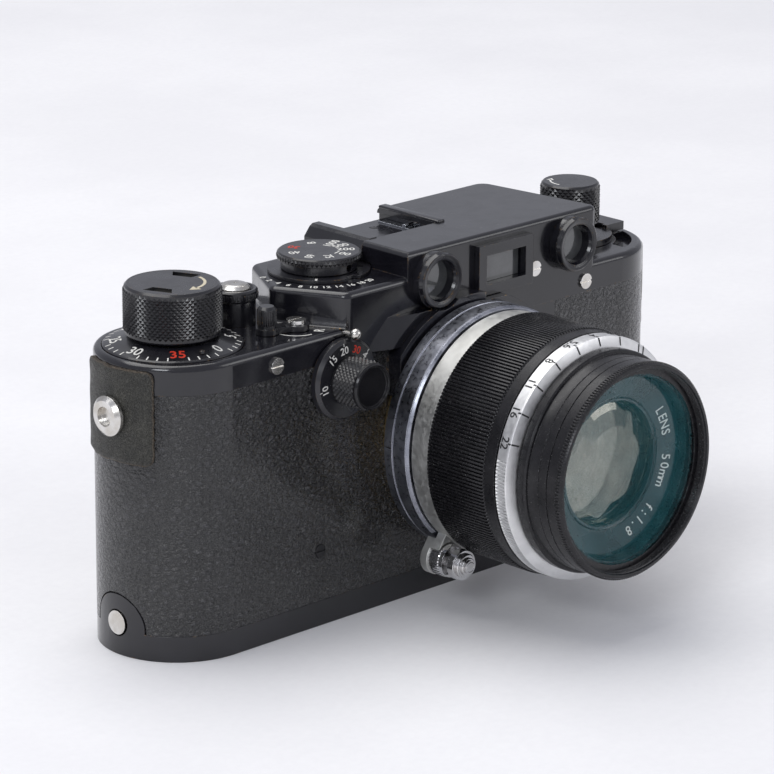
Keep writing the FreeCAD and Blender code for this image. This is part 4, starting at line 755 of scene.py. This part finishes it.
def platform_foot():
    """Concave fillet where the raised platform's left walls meet the deck."""
    reach, rise, sunk = 1.05, 3.6, 0.01
    path = [Vector((-23.45, -15.0)), Vector((-30.8, -1.9)), Vector((-22.6, 11.2))]
    turns = [math.radians(90 * k / 10) for k in range(11)]
    section = [(-0.4, -0.02)]
    section += [(reach * (1 - math.sin(a)), rise * (1 - math.cos(a))) for a in turns]
    section += [(-0.4, rise)]
    stations = []
    for start, end in zip(path, path[1:]):
        run = (end - start).normalized()
        out = Vector((run.y, -run.x)) * -1
        stations.append((start, end, run, out))
    corner = 2.0
    points = []
    first, second = stations
    bend = first[3].angle_signed(second[3])
    pull = corner * math.tan(abs(bend) / 2)
    rows = [(first[0], first[3]), (first[1] - first[2] * pull, first[3])]
    hub = first[1] - first[2] * pull - first[3] * corner
    for k in range(1, 8):
        turn = Matrix.Rotation(-bend * k / 8, 2)
        out = turn @ first[3]
        rows.append((hub + out * corner, out))
    rows += [(second[0] + second[2] * pull, second[3]), (second[1], second[3])]
    for place, out in rows:
        for off, height in section:
            spread = place + out * off
            points.append(Vector((spread.x, spread.y, DECK - sunk + height)) * MM)
    count = len(section)
    faces = [(k * count + j, k * count + (j + 1) % count, (k + 1) * count + (j + 1) % count,
              (k + 1) * count + j) for k in range(len(rows) - 1) for j in range(count)]
    faces += [tuple(range(count)), tuple(range((len(rows) - 1) * count, len(rows) * count))]
    build("platform_foot", points, faces, ENAMEL, "camera_body", 40)


def shoe_details():
    for k, (x, y) in enumerate(((-1.5, 0.6), (7.6, 0.6), (-1.5, 9.4), (7.6, 9.4))):
        turned("shoe_screw_%d" % k, [
            (0.15, SHOE_FLOOR - 0.1), (1.0, SHOE_FLOOR - 0.1), (1.0, SHOE_FLOOR + 0.05),
            (0.8, SHOE_FLOOR + 0.12), (0.15, SHOE_FLOOR + 0.12)],
               even(28), spot_at((x, y, 0)), ENAMEL_KNOBS, "camera_body")
    rounded_bar("shoe_right_lip", (12.25, -3.4, 68.45), (14.3, 13.1, 69.1), 0.3)


def rounded_bar(name, low, high, round_by):
    """Bar along Y with rounded long edges and ends."""
    work = bmesh.new()
    bmesh.ops.create_cube(work, size=1)
    for vertex in work.verts:
        vertex.co = Vector([a + (b - a) * (c + 0.5) for a, b, c in zip(low, high, vertex.co)]) * MM
    bmesh.ops.bevel(work, geom=work.edges[:], offset=round_by * MM, segments=4, affect="EDGES",
                    profile=0.5)
    points = [v.co.copy() for v in work.verts]
    faces = [tuple(v.index for v in f.verts) for f in work.faces]
    work.free()
    build(name, points, faces, ENAMEL, "camera_body", 40)


# ---------------------------------------------------------------- lens

LENS = measure("filter_ring", FRONT)


def lens_ring(name, outline, directions, finish, body, node=None):
    """Ring turned about the lens axis, standing in for a CAD node when one is named."""
    piece = turned(name, outline, directions, LENS.spot, finish, body)
    if node:
        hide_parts(node)


def lens_base():
    ring = measure("lens_base_ring", FRONT)
    edge, front = ring.radius, ring.end
    lens_ring("base_ring_turned", [
        (17.38, 14.6), (19.45, 14.6), (19.45, 19.2), (edge - 0.15, 19.2), (edge, 19.35),
        (edge, 21.3), (edge - 0.22, 21.4), (edge - 0.22, 21.62), (edge, 21.75),
        (edge, front - 0.75), (edge - 0.12, front - 0.65), (edge + 0.0, front - 0.5),
        (edge - 0.35, front), (20.4, front), (20.4, 20.6), (17.38, 20.6)],
        even(240), SATIN, "camera_body", "lens_base_ring")
    marks("distance_numbers", [
        (text(words, 1.5, 0.01), on_wall(LENS.spot, edge + 0.01, degrees, 20.3))
        for words, degrees in (("5", 101), ("3", 87), ("2", 66), ("1.5", 44), ("1", 20))
    ] + [(line(0.22, 1.9), on_wall(LENS.spot, edge + 0.01, 179, 20.3))],
        INK, "camera_body")


def focus_parts():
    ring = measure("focus_grip", FRONT)
    edge, back, front = ring.radius, ring.start, ring.end
    lens_ring("focus_grip_fluted", [
        (20.4, back), (edge - 0.6, back), (edge - 0.12, back + 0.35, 0.3),
        (edge, back + 0.6, 1), (edge, front - 0.5, 1), (edge - 0.1, front - 0.22, 0.6),
        (edge - 0.45, front), (20.4, front)], flutes(210, 0.4, 0.46), GRIP,
        "focus_ring", "focus_grip")
    silver = measure("focus_knob", FRONT)
    turned("focus_knob_knurl", [
        (silver.radius - 0.4, silver.start + 0.15), (silver.radius, silver.start + 0.15),
        (silver.radius + 0.14, silver.start + 0.4, 1), (silver.radius + 0.14, silver.end - 1.1, 1),
        (silver.radius, silver.end - 0.9), (silver.radius - 0.4, silver.end - 0.9)],
        flutes(34, 0.2, 0.5), silver.spot, CHROME, "focus_ring")
    button = measure("infinity_lock_button", FRONT)
    steps = [(2.9, -3.35), (3.0, -3.2), (3.0, -1.85), (2.85, -1.7), (2.4, -1.7), (2.4, -1.2),
             (2.25, -1.05), (1.75, -1.05), (1.75, -0.5), (1.6, -0.36), (1.15, -0.36), (1.1, -0.02),
             (0.95, 0.06), (0.55, -0.22), (0.15, -0.25)]
    outline = [(radius, button.end + along) for radius, along in steps]
    outline += [(0.15, button.end - 3.35)]
    turned("infinity_lock_turned", outline, even(64), button.spot, CHROME,
           "infinity_lock", 20)


def aperture_parts():
    ring = measure("aperture_ring", FRONT)
    edge, back, front = ring.radius, ring.start, ring.end
    lens_ring("aperture_ring_turned", [
        (20.06, back), (edge - 0.3, back), (edge, back + 0.25), (edge, back + 0.55, 1),
        (edge, back + 2.3, 1), (edge, back + 2.6), (edge - 0.05, front - 0.7),
        (21.75, front), (20.06, front)],
        flutes(216, 0.3, 0.5, ((168, 252), (286, 360), (0, 14))), SILVER,
        "aperture_ring", "aperture_ring")
    stops = ("22", "16", "11", "8", "5.6", "4", "2.8")
    angles = [161.0 - 14.7 * k for k in range(len(stops))]
    shapes = [(text(words, 1.75, 0.03), on_wall(LENS.spot, edge + MARK, degrees, back + 1.2))
              for words, degrees in zip(stops, angles)]
    slope = -(0.7 / 1.75)
    for degrees in (*angles, 58.1, 54.3):
        shapes.append((line(0.32, 0.7), on_wall(LENS.spot, edge + MARK, degrees, back + 2.45)))
        shapes.append((line(0.32, 1.5), on_disc(LENS.spot, 22.6, degrees, front - 0.31, 0, slope)))
    marks("aperture_numbers", shapes, INK, "aperture_ring")


def nose():
    sleeve = measure("front_sleeve", FRONT)
    back, front = sleeve.start, sleeve.end
    lens_ring("nose_turned", [
        (17.8, back), (21.2, back), (21.5, back + 0.3), (21.5, back + 1.9), (21.25, back + 2.2),
        (20.78, back + 2.3), (20.7, back + 2.5), (20.7, back + 4.6), (20.55, back + 4.66),
        (20.55, back + 4.82), (20.7, back + 4.9), (20.7, front), (17.8, front)],
        even(240), ANODISED, "front_barrel", "front_sleeve")
    back, front = LENS.start, LENS.end
    threads = []
    for k in range(6):
        along = front - 0.35 - 0.27 * k
        threads += [(19.62, along), (19.38, along - 0.135)]
    lens_ring("filter_ring_turned", [
        (17.7, back), (20.55, back), (20.7, back + 0.12), (20.7, front - 1.5),
        (20.86, front - 1.42, 1), (20.9, front - 0.95, 1), (20.86, front - 0.6, 1),
        (20.6, front - 0.45), (20.35, front - 0.05), (20.2, front), (19.75, front),
        *threads, (19.5, 59.95), (18.2, 59.9), (18.2, 59.2), (17.7, 59.2)],
        flutes(210, 0.24, 0.45), ANODISED, "front_barrel", "filter_ring")


def name_ring():
    slope = 1.2 / 3.8
    radius = 15.05
    middle = 55.0 + slope * (radius - 13.2) + 0.03
    words = "LENS  50mm  f:1.8"
    shapes = []
    for k, letter in enumerate(words):
        if letter != " ":
            degrees = 31 - 6.35 * k
            shapes.append((text(letter, 1.75, 0.015),
                           on_disc(LENS.spot, radius, degrees, middle, 180, slope)))
    marks("name_ring_marks", shapes, WHITE, "front_barrel")
    for k, (reach, along) in enumerate(((12.5, 55.0), (11.3, 52.2), (12.9, 43.2))):
        lens_ring("cell_edge_%d" % k, [
            (reach, along), (reach + 0.18, along + 0.1), (reach + 0.36, along),
            (reach + 0.18, along - 0.25)], even(144), KNURL_STEEL,
            "front_barrel")


# ---------------------------------------------------------------- strap guards


def strap_guard(side, name):
    """Leather patch bent round an end of the body, with soft corners and a frayed edge."""
    low, high = (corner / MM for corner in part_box("lug_pads"))
    centre_x, radius, thick = 52.69, 15.4, 0.86
    reach = math.asin(high.y / (radius + thick))
    columns, rows = 46, 40
    corner = 1.5
    grid = []
    for layer in (0, 1):
        for j in range(rows + 1):
            v = low.z + (high.z - low.z) * j / rows
            from_edge = min(v - low.z, high.z - v)
            inset = 0.0
            if from_edge < corner:
                inset = corner - math.sqrt(corner ** 2 - (corner - from_edge) ** 2)
            for i in range(columns + 1):
                share = 2 * i / columns - 1
                angle = share * (reach - inset / radius)
                rim = min(1.0, (1 - abs(share)) * columns / 4, 4 * j / rows * 5,
                          4 * (1 - j / rows) * 5)
                fray = noise.noise(Vector((v * 0.7, angle * 9, 4.0 + side)))
                swell = noise.noise(Vector((v * 0.22, angle * 4, 9.0 + side)))
                lift = (thick - 0.3 * (1 - rim) + 0.16 * swell) if layer else -0.05
                edge = 0.16 * fray * (1 - rim)
                out = radius + max(lift, -0.05)
                x = side * (centre_x + out * math.cos(angle + edge / radius))
                y = out * math.sin(angle + edge / radius)
                grid.append(Vector((x, y, v + 0.22 * fray * (1 - rim))) * MM)
    width = columns + 1
    sheet = (rows + 1) * width
    faces = []
    for j in range(rows):
        for i in range(columns):
            a = j * width + i
            faces += [(a, a + 1, a + width + 1, a + width)]
            b = a + sheet
            faces += [(b, b + width, b + width + 1, b + 1)]
    border = list(range(width)) + [j * width + columns for j in range(1, rows + 1)]
    border += [rows * width + i for i in range(columns - 1, -1, -1)]
    border += [j * width for j in range(rows - 1, 0, -1)]
    for k, a in enumerate(border):
        b = border[(k + 1) % len(border)]
        faces.append((a, b, b + sheet, a + sheet))
    piece = build(name, grid, faces, LEATHER, "camera_body", 50)
    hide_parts("lug_pads")


# ---------------------------------------------------------------- room, light, camera


def stage():
    floor_mesh = bpy.data.meshes.new("floor")
    reach, steps = 3.0, 24
    points = [(reach * (2 * i / steps - 1), reach * (2 * j / steps - 1), 0)
              for j in range(steps + 1) for i in range(steps + 1)]
    faces = [(j * (steps + 1) + i, j * (steps + 1) + i + 1, (j + 1) * (steps + 1) + i + 1,
              (j + 1) * (steps + 1) + i) for j in range(steps) for i in range(steps)]
    floor_mesh.from_pydata(points, [], faces)
    f = Finish("pale_floor", Roughness=0.75)
    tone = f.span(f.noise(0.012, 5, 0.6), 0.3, 0.7)
    fleck = f.span(f.noise(0.5, 6, 0.7), 0.25, 0.75)
    near = f.mix(tone, (0.805, 0.8, 0.815), (0.862, 0.857, 0.868))
    f.link("Base Color", f.mix(f.maths("MULTIPLY", fleck, 0.25), near, (0.72, 0.715, 0.735)))
    f.bump(f.noise(1.5, 4, 0.6), 0.02)
    floor_mesh.materials.append(f.material)
    floor = bpy.data.objects.new("floor", floor_mesh)
    floor.location.z = -0.00005
    bpy.context.scene.collection.objects.link(floor)


def area_light(name, place, target, size, power, colour=(1, 1, 1)):
    data = bpy.data.lights.new(name, "AREA")
    data.shape = "RECTANGLE"
    data.size, data.size_y = size
    data.energy = power
    data.color = colour
    lamp = bpy.data.objects.new(name, data)
    lamp.location = place
    direction = Vector(target) - Vector(place)
    lamp.rotation_euler = direction.to_track_quat("-Z", "Y").to_euler()
    bpy.context.scene.collection.objects.link(lamp)


def lights():
    world = bpy.data.worlds.new("soft_room")
    world.use_nodes = True
    sky = world.node_tree.nodes["Background"]
    sky.inputs["Color"].default_value = (0.88, 0.9, 1.0, 1)
    sky.inputs["Strength"].default_value = 0.5
    bpy.context.scene.world = world
    bpy.context.scene.view_settings.view_transform = "Standard"
    middle = (0, -0.02, 0.04)
    area_light("overhead", (-0.1, 0.35, 1.25), middle, (1.5, 1.0), 13.0, (1.0, 0.99, 0.97))
    area_light("left_window", (-1.15, -0.55, 0.75), middle, (0.5, 0.45), 5.5, (0.93, 0.96, 1.0))
    area_light("right_fill", (0.9, -1.1, 0.6), middle, (0.8, 0.6), 3.0)


def camera():
    data = bpy.data.cameras.new("camera")
    data.sensor_width = 36
    data.angle = math.radians(10.764)
    data.clip_start = 0.01
    viewer = bpy.data.objects.new("camera", data)
    place = Vector((-0.53541, -0.54266, 0.27432))
    forward = Vector((0.67197, 0.67846, -0.29690)).normalized()
    roll = math.radians(-0.324)
    level = forward.cross(Vector((0, 0, 1))).normalized()
    right = Matrix.Rotation(roll, 3, forward) @ level
    up = right.cross(forward)
    rotation = Matrix((right, up, -forward)).transposed()
    viewer.matrix_world = Matrix.Translation(place) @ rotation.to_4x4()
    bpy.context.scene.collection.objects.link(viewer)
    bpy.context.scene.camera = viewer


wind_knob()
counter_dial()
release()
lever_pin()
speed_dial()
slow_dial()
window_ring_edges()
rewind_knob()
shoe_details()
platform_foot()
lens_base()
focus_parts()
aperture_parts()
nose()
name_ring()
strap_guard(-1, "strap_guard_left")
strap_guard(1, "strap_guard_right")
stage()
lights()
camera()
